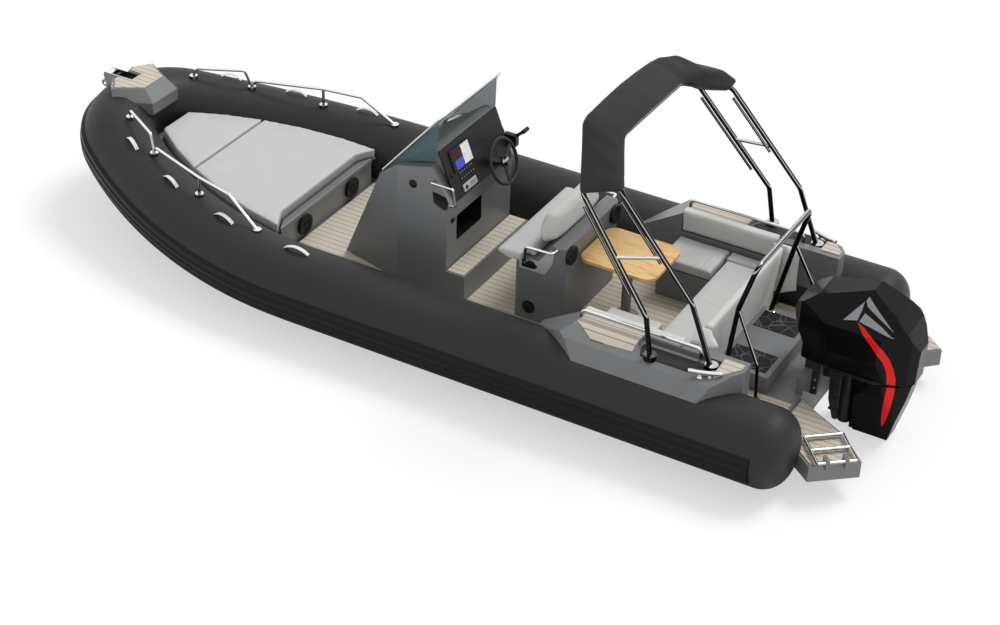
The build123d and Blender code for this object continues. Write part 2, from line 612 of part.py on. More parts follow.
STEM = [(-300, 512), (-300, -150), (-520, -150), (-540, 200), (-560, 512)]
leg = side_slab(STEM, -75, 75)
plate_av = plate([(-180, 0), (-300, 70), (-560, 110), (-640, 60), (-640, -60), (-560, -110), (-300, -70)], -165, -150)
strut = side_slab([(-300, -150), (-560, -150), (-500, -470), (-330, -470)], -40, 40)
torpedo = Pos(-400, 0, PROP_Z) * Rot(0, 90, 0) * Cylinder(72, 250)
nose_cone = Pos(-275, 0, PROP_Z) * Sphere(72)
skeg = side_slab([(-330, PROP_Z - 50), (-500, PROP_Z - 50), (-500, PROP_Z - 185), (-440, PROP_Z - 185)], -8, 8)
bearer = box(-560, -150, -150, 150, 512, 540)
spindle = Pos(STEER_X, 0, 222) * Cylinder(33, 600)
leg = leg + strut + torpedo + nose_cone + skeg + plate_av + bearer + spindle
foot_link = box(-340, -200, -40, 40, -90, -60)
leg = leg + foot_link
keep("outboard_leg", leg)

# the cowl is a faceted block: one outline from the side, one from above and one from behind
# its lower front draws in, to clear the well floor when the engine is tilted right up
COWL_SIDE = [(140, 541), (126, 655), (184, 788), (212, 870), (185, 950), (30, 1072), (-180, 1140), (-345, 1196)]
COWL_SIDE += [(-560, 1065), (-655, 975), (-742, 815), (-735, 541)]
COWL_PLAN = [(214, 80), (140, 168), (-100, 226), (-470, 226), (-690, 140), (-744, 70)]
COWL_REAR = [(195, 541), (226, 690), (218, 900), (120, 1110), (70, 1200)]
cowl = side_slab(COWL_SIDE, -230, 230) & plate(both_sides(COWL_PLAN), 500, 1250)
cowl = cowl & cross_slab(COWL_REAR + [(-y, z) for y, z in reversed(COWL_REAR)], -800, 300)
# radius about the steering axis and height: its front corners keep inside this, tilted up and steered
COWL_SWING = [(0, 500), (370, 500), (370, 655), (426, 785), (466, 870), (560, 1060), (560, 1260), (0, 1260)]
swing = Pos(STEER_X, 0, 0) * revolve(Plane.XZ * make_face(Polyline(*COWL_SWING, close=True)), Axis.Z)
cowl = cowl - (box(STEER_X, 300, -300, 300, 500, 1260) - swing)
keep("cowl", cowl)
APRON_SIDE = [(-335, -120), (-335, 511), (-715, 511), (-690, 370), (-600, 0), (-560, -120)]
APRON_PLAN = [(-335, 165), (-500, 205), (-640, 140), (-716, 70)]
APRON_REAR = [(62, -120), (120, 150), (178, 400), (190, 511)]
apron = side_slab(APRON_SIDE, -210, 210) & plate(both_sides(APRON_PLAN), -150, 520)
apron = apron & cross_slab(APRON_REAR + [(-y, z) for y, z in reversed(APRON_REAR)], -800, 0)
keep("engine_apron", apron - leg)

HUB_X = -590


def make_propeller():
    """Three raked, twisted blades on a hub with a through bore for exhaust."""
    hub = Pos(HUB_X, 0, PROP_Z) * Rot(0, 90, 0) * Cylinder(55, 110)
    prop = hub
    for index in range(3):
        sections = []
        for radius, pitch, chord in ((45, 62, 90), (120, 42, 130), (178, 30, 80)):
            blade = Plane((0, 0, radius)) * Rot(0, 0, pitch) * Rectangle(9, chord)
            sections.append(blade)
        blade = loft(sections, ruled=True)
        prop = prop + Pos(HUB_X, 0, PROP_Z) * Rot(index * 120, 0, 0) * blade
    return prop


keep("propeller", make_propeller())

teak += port_starboard(side_teak) + [platform_teak, platform_teak_starboard]
inlay = plate([(250, 850), (250, 905), (345, 1020), (400, 1050), (400, 850)], 700, 900)
inlay = inlay + plate([(1015, 850), (1015, 1060), (1330, 1075), (1560, 930), (1560, 850)], 700, 900)
saddle_skin = cross_slab([(840, 700), (840, 796), (1000, 786), (1100, 737), (1090, 700)], 200, 1600)
inlay = (inlay & saddle_skin) - moulding_port - side_back - handrail_port
slope_cut = side_slab([(1470, 900), (1480, 800), (1870, 560), (1870, 900)], 0, 1400)
teak += port_starboard(inlay - slope_cut)
keep("teak", *teak)

# ---------------------------------------------------------------- write the nodes
os.makedirs("parts", exist_ok=True)
for old in os.listdir("parts"):
    if old.endswith(".step"):
        os.remove(os.path.join("parts", old))
for name, shape in PARTS.items():
    export_step(shape, os.path.join("parts", name + ".step"))
    print(name, len(shape.solids()), "solid(s)")
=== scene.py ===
# %% [markdown]
# # A rigid inflatable boat
# The boat's solids come from its construction model and stay as they are. This file gives every
# surface its finish, replaces the plain soft blocks with sewn cushions, and adds the small fittings.
# Everything is in metres: +X is forward, +Y is port, +Z is up, and z = 0 is the waterline.

# %% Load the frame
import json
from math import cos, pi, radians, sin
import bpy
import bmesh
from mathutils import Matrix, Vector


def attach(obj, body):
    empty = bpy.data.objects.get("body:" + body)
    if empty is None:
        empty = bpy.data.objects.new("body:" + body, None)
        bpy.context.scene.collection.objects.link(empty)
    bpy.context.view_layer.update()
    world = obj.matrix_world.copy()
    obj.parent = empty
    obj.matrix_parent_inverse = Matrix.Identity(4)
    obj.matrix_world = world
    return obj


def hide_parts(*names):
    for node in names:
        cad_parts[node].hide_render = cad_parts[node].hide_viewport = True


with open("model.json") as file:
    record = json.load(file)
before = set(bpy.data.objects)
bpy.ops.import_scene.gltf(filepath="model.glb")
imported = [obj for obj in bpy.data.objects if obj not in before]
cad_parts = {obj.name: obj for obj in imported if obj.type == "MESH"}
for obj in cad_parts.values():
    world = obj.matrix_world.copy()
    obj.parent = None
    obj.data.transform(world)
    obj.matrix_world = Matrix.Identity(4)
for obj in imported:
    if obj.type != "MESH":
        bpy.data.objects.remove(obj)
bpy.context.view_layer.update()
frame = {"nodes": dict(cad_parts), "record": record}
nodes = frame["nodes"]

# %% [markdown]
# ## Camera
# The boat is seen from high on the port side, a little aft, through a long lens. The lens is worked
# out from the picture's width in pixels, and the turn is given by the camera's own right and up.

# %% Camera
PICTURE_WIDTH = 1000
FOCAL_PIXELS = 2164.1
SENSOR = 36.0
CAMERA_AT = Vector((-4.1092, 12.4466, 9.3011))
CAMERA_RIGHT = Vector((-0.86859, -0.49461, 0.03027))
CAMERA_UP = Vector((0.29560, -0.46815, 0.83274))

lens = bpy.data.cameras.new("camera")
lens.sensor_width = SENSOR
lens.lens = FOCAL_PIXELS / PICTURE_WIDTH * SENSOR
lens.clip_end = 200
camera = bpy.data.objects.new("camera", lens)
turn = Matrix((CAMERA_RIGHT, CAMERA_UP, CAMERA_RIGHT.cross(CAMERA_UP))).transposed()
camera.matrix_world = Matrix.Translation(CAMERA_AT) @ turn.to_4x4()
bpy.context.scene.collection.objects.link(camera)
bpy.context.scene.camera = camera
bpy.context.scene.view_settings.view_transform = "Standard"

# %% [markdown]
# ## Helpers for shaders
# Node maths is easier to read as an expression. `Wire` holds one socket, and using it in a sum or a
# product adds the Math node for it. `Finish` owns a material and adds every other kind of node.

# %% Shader helpers
class Wire:
    """A shader value that adds Math nodes when it is used in an expression."""

    def __init__(self, finish, socket):
        self.finish = finish
        self.socket = socket

    def math(self, operation, *others, clamp=False):
        values = dict(enumerate((self,) + others))
        return self.finish.add("ShaderNodeMath", {"operation": operation, "use_clamp": clamp}, values)

    def __add__(self, other):
        return self.math("ADD", other)

    def __sub__(self, other):
        return self.math("SUBTRACT", other)

    def __rsub__(self, other):
        return self.finish.add("ShaderNodeMath", {"operation": "SUBTRACT"}, {0: other, 1: self})

    def __mul__(self, other):
        return self.math("MULTIPLY", other)

    def __truediv__(self, other):
        return self.math("DIVIDE", other)

    def __gt__(self, other):
        return self.math("GREATER_THAN", other)

    def __lt__(self, other):
        return self.math("LESS_THAN", other)

    __radd__ = __add__
    __rmul__ = __mul__


class Finish:
    """One material: its shader's constants, and a way to add nodes."""

    def __init__(self, name, colour, roughness, **constants):
        self.material = bpy.data.materials.new(name)
        self.material.use_nodes = True
        self.tree = self.material.node_tree
        self.shader = self.tree.nodes["Principled BSDF"]
        self.shader.inputs["Base Color"].default_value = (*colour, 1)
        self.shader.inputs["Roughness"].default_value = roughness
        self.material.diffuse_color = (*colour, 1)
        for socket, value in constants.items():
            self.shader.inputs[socket.replace("_", " ")].default_value = value

    def add(self, kind, settings=None, values=None, output=0):
        """Adds a node: its settings first, then each input's value or link. Returns one output."""
        node = self.tree.nodes.new(kind)
        for setting, value in (settings or {}).items():
            if setting == "stops":
                self.set_stops(node.color_ramp, value)
            else:
                setattr(node, setting, value)
        for socket, value in (values or {}).items():
            self.feed(node.inputs[socket], value)
        return Wire(self, node.outputs[output])

    def feed(self, socket, value):
        if isinstance(value, Wire):
            self.tree.links.new(value.socket, socket)
        else:
            socket.default_value = value

    def set_stops(self, ramp, stops):
        while len(ramp.elements) < len(stops):
            ramp.elements.new(1.0)
        for element, (position, colour) in zip(ramp.elements, stops):
            element.position = position
            element.color = (*colour, 1)

    def place(self, turn=0.0):
        """Object coordinates in metres, turned about Z where a pattern runs at an angle."""
        coordinates = self.add("ShaderNodeTexCoord", output="Object")
        if not turn:
            return coordinates
        return self.add("ShaderNodeMapping", values={"Vector": coordinates, "Rotation": (0, 0, turn)})

    def axes(self, place):
        return [self.add("ShaderNodeSeparateXYZ", values={"Vector": place}, output=name) for name in "XYZ"]

    def noise(self, place, scale, detail=3.0, roughness=0.5):
        values = {"Vector": place, "Scale": scale, "Detail": detail, "Roughness": roughness}
        return self.add("ShaderNodeTexNoise", values=values)

    def mix(self, share, first, second):
        """A colour between two others."""
        paints = [colour if isinstance(colour, Wire) else (*colour, 1) for colour in (first, second)]
        values = {0: share, 6: paints[0], 7: paints[1]}
        return self.add("ShaderNodeMix", {"data_type": "RGBA"}, values, output=2)

    def paint(self, **links):
        for socket, wire in links.items():
            self.feed(self.shader.inputs[socket.replace("_", " ")], wire)

    def bump(self, height, strength, distance):
        values = {"Height": height, "Strength": strength, "Distance": distance}
        self.paint(Normal=self.add("ShaderNodeBump", values=values))


def finish_of(builder):
    """Runs a function that builds a finish, once, and gives its material."""
    return builder().material


# %% [markdown]
# ## Floor and light
# The floor lies at the waterline, so the part of the hull that floats under water is below it. It is
# white to the camera, and a broad lamp overhead and a weak sun leave only a soft shadow on it.

# %% Floor and light
FLOOR_HALF = 60.0
SKY_STRENGTH = 0.66
SUN_STRENGTH = 1.8
SUN_SPREAD = radians(24)
SUN_TURN = (radians(28), radians(-16), 0)


def make_floor():
    mesh = bmesh.new()
    bmesh.ops.create_grid(mesh, x_segments=1, y_segments=1, size=FLOOR_HALF)
    data = bpy.data.meshes.new("floor")
    mesh.to_mesh(data)
    mesh.free()
    floor = bpy.data.objects.new("floor", data)
    bpy.context.scene.collection.objects.link(floor)
    return floor


FLOOR_GLOW = 0.55


def floor_finish():
    finish = Finish("pale floor", (0.95, 0.95, 0.95), 0.9)
    finish.shader.inputs["Specular IOR Level"].default_value = 0.1
    tree = finish.material.node_tree
    rays = tree.nodes.new("ShaderNodeLightPath")
    share = tree.nodes.new("ShaderNodeMath")
    share.operation = "MULTIPLY"
    share.inputs[1].default_value = FLOOR_GLOW
    tree.links.new(rays.outputs["Is Camera Ray"], share.inputs[0])
    white = tree.nodes.new("ShaderNodeEmission")
    both = tree.nodes.new("ShaderNodeMixShader")
    tree.links.new(share.outputs[0], both.inputs["Fac"])
    tree.links.new(finish.shader.outputs["BSDF"], both.inputs[1])
    tree.links.new(white.outputs["Emission"], both.inputs[2])
    output = next(node for node in tree.nodes if node.bl_idname == "ShaderNodeOutputMaterial")
    tree.links.new(both.outputs["Shader"], output.inputs["Surface"])
    return finish


def light_the_sky():
    world = bpy.data.worlds.new("studio")
    world.use_nodes = True
    bpy.context.scene.world = world
    tree = world.node_tree
    background = tree.nodes["Background"]
    background.inputs["Color"].default_value = (1, 1, 1, 1)
    rays = tree.nodes.new("ShaderNodeLightPath")
    seen = None
    for kind in ("Is Camera Ray", "Is Glossy Ray", "Is Transmission Ray"):
        if seen is None:
            seen = rays.outputs[kind]
            continue
        either = tree.nodes.new("ShaderNodeMath")
        either.operation = "MAXIMUM"
        tree.links.new(seen, either.inputs[0])
        tree.links.new(rays.outputs[kind], either.inputs[1])
        seen = either.outputs[0]
    strength = tree.nodes.new("ShaderNodeMapRange")
    strength.inputs["To Min"].default_value = SKY_STRENGTH
    strength.inputs["To Max"].default_value = 1.0
    tree.links.new(seen, strength.inputs["Value"])
    tree.links.new(strength.outputs["Result"], background.inputs["Strength"])


def add_sun():
    data = bpy.data.lights.new("sun", "SUN")
    data.energy = SUN_STRENGTH
    data.angle = SUN_SPREAD
    sun = bpy.data.objects.new("sun", data)
    sun.rotation_euler = SUN_TURN
    bpy.context.scene.collection.objects.link(sun)


floor = make_floor()
floor.data.materials.append(finish_of(floor_finish))
light_the_sky()
add_sun()

# %% [markdown]
# ## Finishes
# Each finish is a short function. Patterns read Object coordinates, which are metres from the
# boat's origin, so a weave or a plank has its real width wherever the piece lies.

# %% Coated tube fabric and rubber
FABRIC_THREADS = 900.0


def tube_fabric():
    """Coated cloth: the weave shows faintly, and the coat has broad, soft marks."""
    finish = Finish("tube fabric", (0.022, 0.022, 0.023), 0.5, Specular_IOR_Level=0.25)
    place = finish.place()
    weave = finish.noise(place, FABRIC_THREADS, 1.0)
    cloud = finish.noise(place, 3.0, 4.0)
    finish.paint(Base_Color=finish.mix(cloud, (0.019, 0.019, 0.020), (0.026, 0.026, 0.027)))
    finish.paint(Roughness=0.42 + cloud * 0.2)
    finish.bump(weave + cloud * 0.5, 0.25, 0.0006)
    return finish


def strake_rubber():
    finish = Finish("strake rubber", (0.005, 0.005, 0.006), 0.3, Specular_IOR_Level=0.16)
    cloud = finish.noise(finish.place(), 9.0, 5.0)
    finish.paint(Roughness=0.26 + cloud * 0.16)
    finish.bump(finish.noise(finish.place(), 350.0), 0.2, 0.0005)
    return finish


def webbing():
    """White flat webbing, ribbed across its length."""
    finish = Finish("white webbing", (0.78, 0.78, 0.76), 0.75, Sheen_Weight=0.3)
    place = finish.place()
    ribs = finish.noise(place, 500.0, 2.0)
    finish.paint(Base_Color=finish.mix(ribs, (0.62, 0.62, 0.60), (0.86, 0.86, 0.84)))
    finish.bump(ribs, 0.4, 0.001)
    return finish


# %% Gelcoat and mouldings
def gelcoat(name, low, high):
    """Sprayed gelcoat: even colour with a faint ripple and a soft shine."""
    finish = Finish(name, high, 0.36, Coat_Weight=0.15, Coat_Roughness=0.25)
    place = finish.place()
    cloud = finish.noise(place, 2.2, 3.0)
    finish.paint(Base_Color=finish.mix(cloud, low, high))
    finish.paint(Roughness=0.32 + cloud * 0.12)
    finish.bump(finish.noise(place, 260.0, 2.0), 0.12, 0.0004)
    return finish


def deck_gelcoat():
    return gelcoat("deck gelcoat", (0.150, 0.156, 0.161), (0.178, 0.184, 0.190))


def hull_gelcoat():
    return gelcoat("hull gelcoat", (0.085, 0.090, 0.096), (0.105, 0.110, 0.117))


# %% Teak-look sheet
PLANK = 0.058
CAULK_SHARE = 0.085


def teak_sheet():
    """Pale planks that run fore and aft, parted by dark caulking, with a fine grain."""
    finish = Finish("teak sheet", (0.56, 0.51, 0.42), 0.62)
    place = finish.place()
    across = finish.axes(place)[1]
    plank = across / PLANK + 100.5
    beside = (plank.math("FRACT") - 0.5).math("ABSOLUTE")
    caulk = beside > 0.5 - CAULK_SHARE / 2
    stretched = finish.add("ShaderNodeMapping", values={"Vector": place, "Scale": (0.06, 1, 1)})
    grain = finish.noise(stretched, 240.0, 4.0, 0.6)
    tone = finish.add("ShaderNodeTexWhiteNoise", {"noise_dimensions": "1D"}, {"W": plank.math("FLOOR")})
    wood = finish.mix(grain, (0.44, 0.39, 0.31), (0.66, 0.61, 0.52))
    wood = finish.mix(tone * 0.3, wood, (0.50, 0.45, 0.36))
    finish.paint(Base_Color=finish.mix(caulk, wood, (0.10, 0.09, 0.08)))
    finish.bump(grain * 0.3 - caulk, 0.5, 0.0012)
    return finish


# %% [markdown]
# ## Polished tube
# Polished steel shows what is round it: a bright sky above, and the dark boat below. Under a plain
# white sky alone it would look like white paint, so that reflection is painted into its colour: darker
# where a face looks down, a narrow dark line where it looks level, and on the dark rail painted highlight
# bands above.

# %% Metals
def polished(name, bright, low, high, stops):
    finish = Finish(name, bright, low, Metallic=1.0)
    normal = finish.add("ShaderNodeNewGeometry", output="Normal")
    upward = finish.axes(normal)[2]
    # Painted reflection: the base colour comes from how far each face looks up.
    finish.paint(Base_Color=finish.add("ShaderNodeValToRGB", {"stops": stops}, {"Fac": upward * 0.5 + 0.5}))
    cloud = finish.noise(finish.place(), 35.0, 4.0)
    finish.paint(Roughness=low + cloud * (high - low))
    return finish


# The middle and dark chrome tones are a painted reflection of the dark boat below, laid on faces that look
# level or down.
CHROME, CHROME_PAINTED_MID_REFLECTION, CHROME_PAINTED_DARK_REFLECTION = (0.86, 0.86, 0.87), (0.47, 0.47, 0.48), (0.10, 0.10, 0.105)
SMOKE_PAINTED_HIGHLIGHT, SMOKE_DARK = (0.60, 0.60, 0.61), (0.010, 0.010, 0.011)


def stainless():
    return polished("stainless", CHROME, 0.10, 0.20, [
        (0.0, CHROME_PAINTED_DARK_REFLECTION), (0.40, CHROME_PAINTED_MID_REFLECTION), (0.52, CHROME_PAINTED_DARK_REFLECTION), (0.64, CHROME_PAINTED_MID_REFLECTION),
        (0.80, CHROME), (1.0, CHROME)])


# Painted highlight: the pale smoke tone makes two bright bands on the rail's upper faces; the dark tone is
# the rail's own colour.
def dark_rail():
    return polished("dark rail", SMOKE_PAINTED_HIGHLIGHT, 0.12, 0.20, [
        (0.0, SMOKE_DARK), (0.66, SMOKE_DARK), (0.72, SMOKE_PAINTED_HIGHLIGHT), (0.80, SMOKE_DARK), (0.90, SMOKE_DARK),
        (1.0, SMOKE_PAINTED_HIGHLIGHT)])


# %% Upholstery
def vinyl(name, low, high):
    """Marine vinyl: pale, with a leather grain and a soft shine on its crown."""
    finish = Finish(name, high, 0.5, Sheen_Weight=0.1)
    place = finish.place()
    cells = finish.add("ShaderNodeTexVoronoi", values={"Vector": place, "Scale": 420.0})
    cloud = finish.noise(place, 5.0, 4.0)
    finish.paint(Base_Color=finish.mix(cloud, low, high))
    finish.paint(Roughness=0.46 + cloud * 0.12)
    finish.bump(cells + cloud * 2.0, 0.25, 0.0008)
    return finish


def seat_vinyl():
    return vinyl("seat vinyl", (0.46, 0.46, 0.455), (0.53, 0.53, 0.525))


def back_vinyl():
    return vinyl("back vinyl", (0.56, 0.56, 0.545), (0.64, 0.64, 0.62))


# %% Plastics, screen and glass
def black_plastic():
    finish = Finish("black plastic", (0.009, 0.009, 0.010), 0.4, Specular_IOR_Level=0.2)
    finish.bump(finish.noise(finish.place(), 700.0), 0.25, 0.0004)
    cloud = finish.noise(finish.place(), 12.0)
    finish.paint(Roughness=0.34 + cloud * 0.14)
    return finish


def grip_rubber():
    finish = Finish("grip", (0.020, 0.020, 0.022), 0.55, Specular_IOR_Level=0.25)
    finish.bump(finish.noise(finish.place(), 450.0), 0.4, 0.0008)
    return finish


def tinted_glass():
    """Teal tinted acrylic, clear enough to see the dash through it."""
    finish = Finish("tinted pane", (0.10, 0.18, 0.18), 0.06, IOR=1.2)
    finish.shader.inputs["Alpha"].default_value = 0.62
    cloud = finish.noise(finish.place(), 2.0)
    finish.paint(Base_Color=finish.mix(cloud, (0.075, 0.150, 0.155), (0.105, 0.200, 0.205)))
    return finish


# %% Table wood and deck pads
def table_wood():
    """Honey veneer with long grain fore and aft."""
    finish = Finish("table wood", (0.70, 0.42, 0.15), 0.4, Coat_Weight=0.3, Coat_Roughness=0.2)
    place = finish.place(turn=radians(4))
    stretched = finish.add("ShaderNodeMapping", values={"Vector": place, "Scale": (0.12, 1.0, 1.0)})
    figure = finish.noise(stretched, 34.0, 5.0, 0.65)
    pores = finish.noise(stretched, 210.0, 2.0)
    dark, light = (0.50, 0.27, 0.075), (0.80, 0.52, 0.20)
    stops = [(0.36, dark), (0.50, light), (0.66, (0.70, 0.42, 0.14))]
    grain = finish.add("ShaderNodeValToRGB", {"stops": stops}, {"Fac": figure})
    finish.paint(Base_Color=finish.mix(pores * 0.35, grain, (0.56, 0.32, 0.10)))
    finish.bump(pores, 0.15, 0.0006)
    return finish


def deck_pad():
    """Black grip pad with an irregular cobble pattern, parted by dull grey lines."""
    finish = Finish("deck pad", (0.010, 0.010, 0.011), 0.6, Specular_IOR_Level=0.2)
    place = finish.place()
    cells = finish.add("ShaderNodeTexVoronoi", {"feature": "DISTANCE_TO_EDGE"},
                       {"Vector": place, "Scale": 9.0})
    groove = cells < 0.035
    finish.paint(Base_Color=finish.mix(groove, (0.010, 0.010, 0.011), (0.075, 0.076, 0.078)))
    finish.bump(finish.noise(place, 500.0) * 0.4 - groove, 0.6, 0.002)
    return finish


def cover_fabric():
    """Black acrylic canvas: a plain weave, its tone varying a little at random."""
    finish = Finish("cover canvas", (0.022, 0.022, 0.023), 0.85, Specular_IOR_Level=0.25,
                    Sheen_Weight=0.08, Sheen_Roughness=0.5)
    place = finish.place()
    weave = finish.noise(place, 800.0, 1.0)
    cloud = finish.noise(place, 4.0, 5.0)
    finish.paint(Base_Color=finish.mix(cloud, (0.018, 0.018, 0.019), (0.028, 0.028, 0.029)))
    finish.bump(weave * 0.6 + cloud * 6.0, 0.35, 0.0012)
    return finish


# %% Engine paint
def engine_gloss():
    """Black lacquer under a clear coat."""
    finish = Finish("engine black", (0.004, 0.004, 0.005), 0.22, Specular_IOR_Level=0.06,
                    Coat_Weight=0.12, Coat_Roughness=0.08)
    cloud = finish.noise(finish.place(), 6.0, 4.0)
    finish.paint(Roughness=0.18 + cloud * 0.14)
    return finish


def engine_satin():
    finish = Finish("bracket black", (0.018, 0.018, 0.020), 0.42, Coat_Weight=0.2)
    finish.bump(finish.noise(finish.place(), 300.0), 0.3, 0.0008)
    cloud = finish.noise(finish.place(), 14.0)
    finish.paint(Roughness=0.34 + cloud * 0.2)
    return finish


def red_flash():
    finish = Finish("red flash", (0.80, 0.012, 0.010), 0.25, Specular_IOR_Level=0.1,
                    Coat_Weight=0.15, Coat_Roughness=0.08)
    cloud = finish.noise(finish.place(), 8.0)
    finish.paint(Base_Color=finish.mix(cloud, (0.70, 0.010, 0.010), (0.86, 0.016, 0.012)))
    return finish


def silver_flash():
    finish = Finish("silver flash", (0.22, 0.23, 0.24), 0.3, Metallic=0.5, Coat_Weight=0.6)
    cloud = finish.noise(finish.place(), 400.0)
    finish.paint(Base_Color=finish.mix(cloud, (0.18, 0.19, 0.20), (0.27, 0.28, 0.29)))
    return finish


FINISHES = {
    "tube_fabric": tube_fabric, "strake_rubber": strake_rubber, "hull_gelcoat": hull_gelcoat,
    "gelcoat": deck_gelcoat, "teak_sheet": teak_sheet, "stainless": stainless, "dark_rail": dark_rail,
    "upholstery": seat_vinyl, "webbing": webbing, "black_plastic": black_plastic,
    "wheel_rim": grip_rubber, "screen": black_plastic, "tinted_glass": tinted_glass,
    "table_wood": table_wood, "painted_post": deck_gelcoat, "deck_pad": deck_pad,
    "cover_fabric": cover_fabric, "engine_bracket": engine_satin, "engine_leg": engine_gloss,
    "engine_cowl": engine_gloss,
}
PAINT = {slot: finish_of(builder) for slot, builder in FINISHES.items()}
PAINT["back_vinyl"] = finish_of(back_vinyl)
PAINT["red_flash"] = finish_of(red_flash)
PAINT["silver_flash"] = finish_of(silver_flash)

# %% Dress the carried-over solids
SLOT_OF = {part["node"]: part["material_slot"] for part in frame["record"]["subparts"]}
for part in frame["record"]["subparts"]:
    data = nodes[part["node"]].data
    data.materials.clear()
    data.materials.append(PAINT[part["material_slot"]])
nodes["roll_bar_ties"].data.materials[0] = PAINT["stainless"]
print("dressed", len(nodes), "solids")

# %% [markdown]
# ## Making a piece
# New pieces are shaped in a bmesh and then handed over by one function, which turns the faces
# outwards, gives the finish, and makes the piece ride on its body. Objects stay at the origin, and
# a shape's place is in its mesh.

# %% Helpers for pieces
SMOOTH_ANGLE = radians(38)


def hand_over(mesh, name, body, slot, paint=None, replaces=(), smooth=SMOOTH_ANGLE):
    """Makes an object of a bmesh, with its finish, its body and the nodes it stands for."""
    bmesh.ops.remove_doubles(mesh, verts=mesh.verts, dist=0.00002)
    bmesh.ops.recalc_face_normals(mesh, faces=mesh.faces)
    for face in mesh.faces:
        face.smooth = True
    for edge in mesh.edges:
        edge.smooth = edge.calc_face_angle(0) < smooth
    data = bpy.data.meshes.new(name)
    mesh.to_mesh(data)
    mesh.free()
    data.materials.append(PAINT[paint or slot])
    piece = bpy.data.objects.new(name, data)
    bpy.context.scene.collection.objects.link(piece)
    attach(piece, body)
    if replaces:
        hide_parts(*replaces)
    return piece


def block(mesh, low, high, turn=None):
    """Adds a block between two corners, turned about its own centre if a matrix is given."""
    low, high = Vector(low), Vector(high)
    size = Matrix.Diagonal((*(high - low), 1))
    place = Matrix.Translation((low + high) / 2)
    matrix = place @ (turn.to_4x4() if turn else Matrix.Identity(4)) @ size
    return bmesh.ops.create_cube(mesh, size=1, matrix=matrix)["verts"]


def prism(mesh, outline, run):
    """Adds a flat outline of points and carries it along a vector."""
    corners = [mesh.verts.new(point) for point in outline]
    face = mesh.faces.new(corners)
    made = bmesh.ops.extrude_face_region(mesh, geom=[face])["geom"]
    moved = [item for item in made if isinstance(item, bmesh.types.BMVert)]
    bmesh.ops.translate(mesh, verts=moved, vec=run)
    bmesh.ops.reverse_faces(mesh, faces=[face])
    return corners + moved


def round_edges(mesh, width, segments=3, sharper=radians(28)):
    """Rounds every edge that turns by more than an angle."""
    edges = [edge for edge in mesh.edges if edge.calc_face_angle(0) > sharper]
    bmesh.ops.bevel(mesh, geom=edges, offset=width, segments=segments, affect="EDGES", profile=0.5,
                    material=-1, clamp_overlap=True)


def facing(direction):
    """A turn that takes +Z to a direction."""
    return Vector((0, 0, 1)).rotation_difference(Vector(direction)).to_matrix()


def turned(mesh, profile, foot, direction, steps=40):
    """Spins a profile of (radius, height) pairs about a line through foot."""
    points = [mesh.verts.new((radius, 0, height)) for radius, height in profile]
    edges = [mesh.edges.new(pair) for pair in zip(points, points[1:])]
    made = bmesh.ops.spin(mesh, geom=points + edges, cent=(0, 0, 0), axis=(0, 0, 1), angle=2 * pi,
                          steps=steps, use_merge=True)
    verts = {v for edge in made["geom_last"] if isinstance(edge, bmesh.types.BMEdge) for v in edge.verts}
    reached, border = set(verts), list(verts)
    while border:
        for edge in border.pop().link_edges:
            for vert in edge.verts:
                if vert not in reached:
                    reached.add(vert)
                    border.append(vert)
    matrix = Matrix.Translation(foot) @ facing(direction).to_4x4()
    bmesh.ops.transform(mesh, matrix=matrix, verts=list(reached))
    return list(reached)


def bar(mesh, start, end, radius, steps=20):
    """Adds a round bar between two points."""
    start, end = Vector(start), Vector(end)
    matrix = Matrix.Translation((start + end) / 2) @ facing(end - start).to_4x4()
    bmesh.ops.create_cone(mesh, cap_ends=True, segments=steps, radius1=radius, radius2=radius,
                          depth=(end - start).length, matrix=matrix)


def tube_along(mesh, points, radius, steps=12, cyclic=False):
    """Adds a bent tube: a curve is bevelled, and its mesh is taken over."""
    curve = bpy.data.curves.new("path", "CURVE")
    curve.dimensions = "3D"
    curve.bevel_depth = radius
    curve.bevel_resolution = max(1, steps // 4)
    curve.use_fill_caps = True
    spline = curve.splines.new("NURBS")
    spline.points.add(len(points) - 1)
    for control, point in zip(spline.points, points):
        control.co = (*point, 1)
    spline.use_cyclic_u = cyclic
    spline.order_u = 3
    spline.use_endpoint_u = True
    spline.resolution_u = 8
    holder = bpy.data.objects.new("path", curve)
    data = bpy.data.meshes.new_from_object(holder)
    mesh.from_mesh(data)
    bpy.data.objects.remove(holder)
    bpy.data.curves.remove(curve)
    bpy.data.meshes.remove(data)


def mirrored(mesh):
    """Adds the mirror image about the centreline to everything in the bmesh."""
    everything = mesh.verts[:] + mesh.edges[:] + mesh.faces[:]
    bmesh.ops.mirror(mesh, geom=everything, matrix=Matrix.Identity(4), merge_dist=-1, axis="Y")


# %% [markdown]
# ## Cushions
# A seat cushion is foam under a stretched cover. Each one starts as its plain block, a little small,
# which is remeshed into even quads and blown up by a short cloth simulation with pressure inside.
# The pull-in of the cover at its corners comes by itself. How far a point may move is capped, so the
# cushion stays in its place, and the seams are pressed in afterwards as narrow grooves.

# %% Cloth helpers
import numpy as np

CLOTH_FRAMES = 20
PRESSURE = 4.0


def points_of(data):
    values = np.zeros(len(data.vertices) * 3)
    data.vertices.foreach_get("co", values)
    return values.reshape(-1, 3)


def set_points(data, values):
    data.vertices.foreach_set("co", values.ravel())
    data.update()


def applied(piece):
    """Replaces a piece's mesh by what its modifiers make of it."""
    bpy.context.view_layer.update()
    graph = bpy.context.evaluated_depsgraph_get()
    data = bpy.data.meshes.new_from_object(piece.evaluated_get(graph))
    piece.modifiers.clear()
    piece.data = data


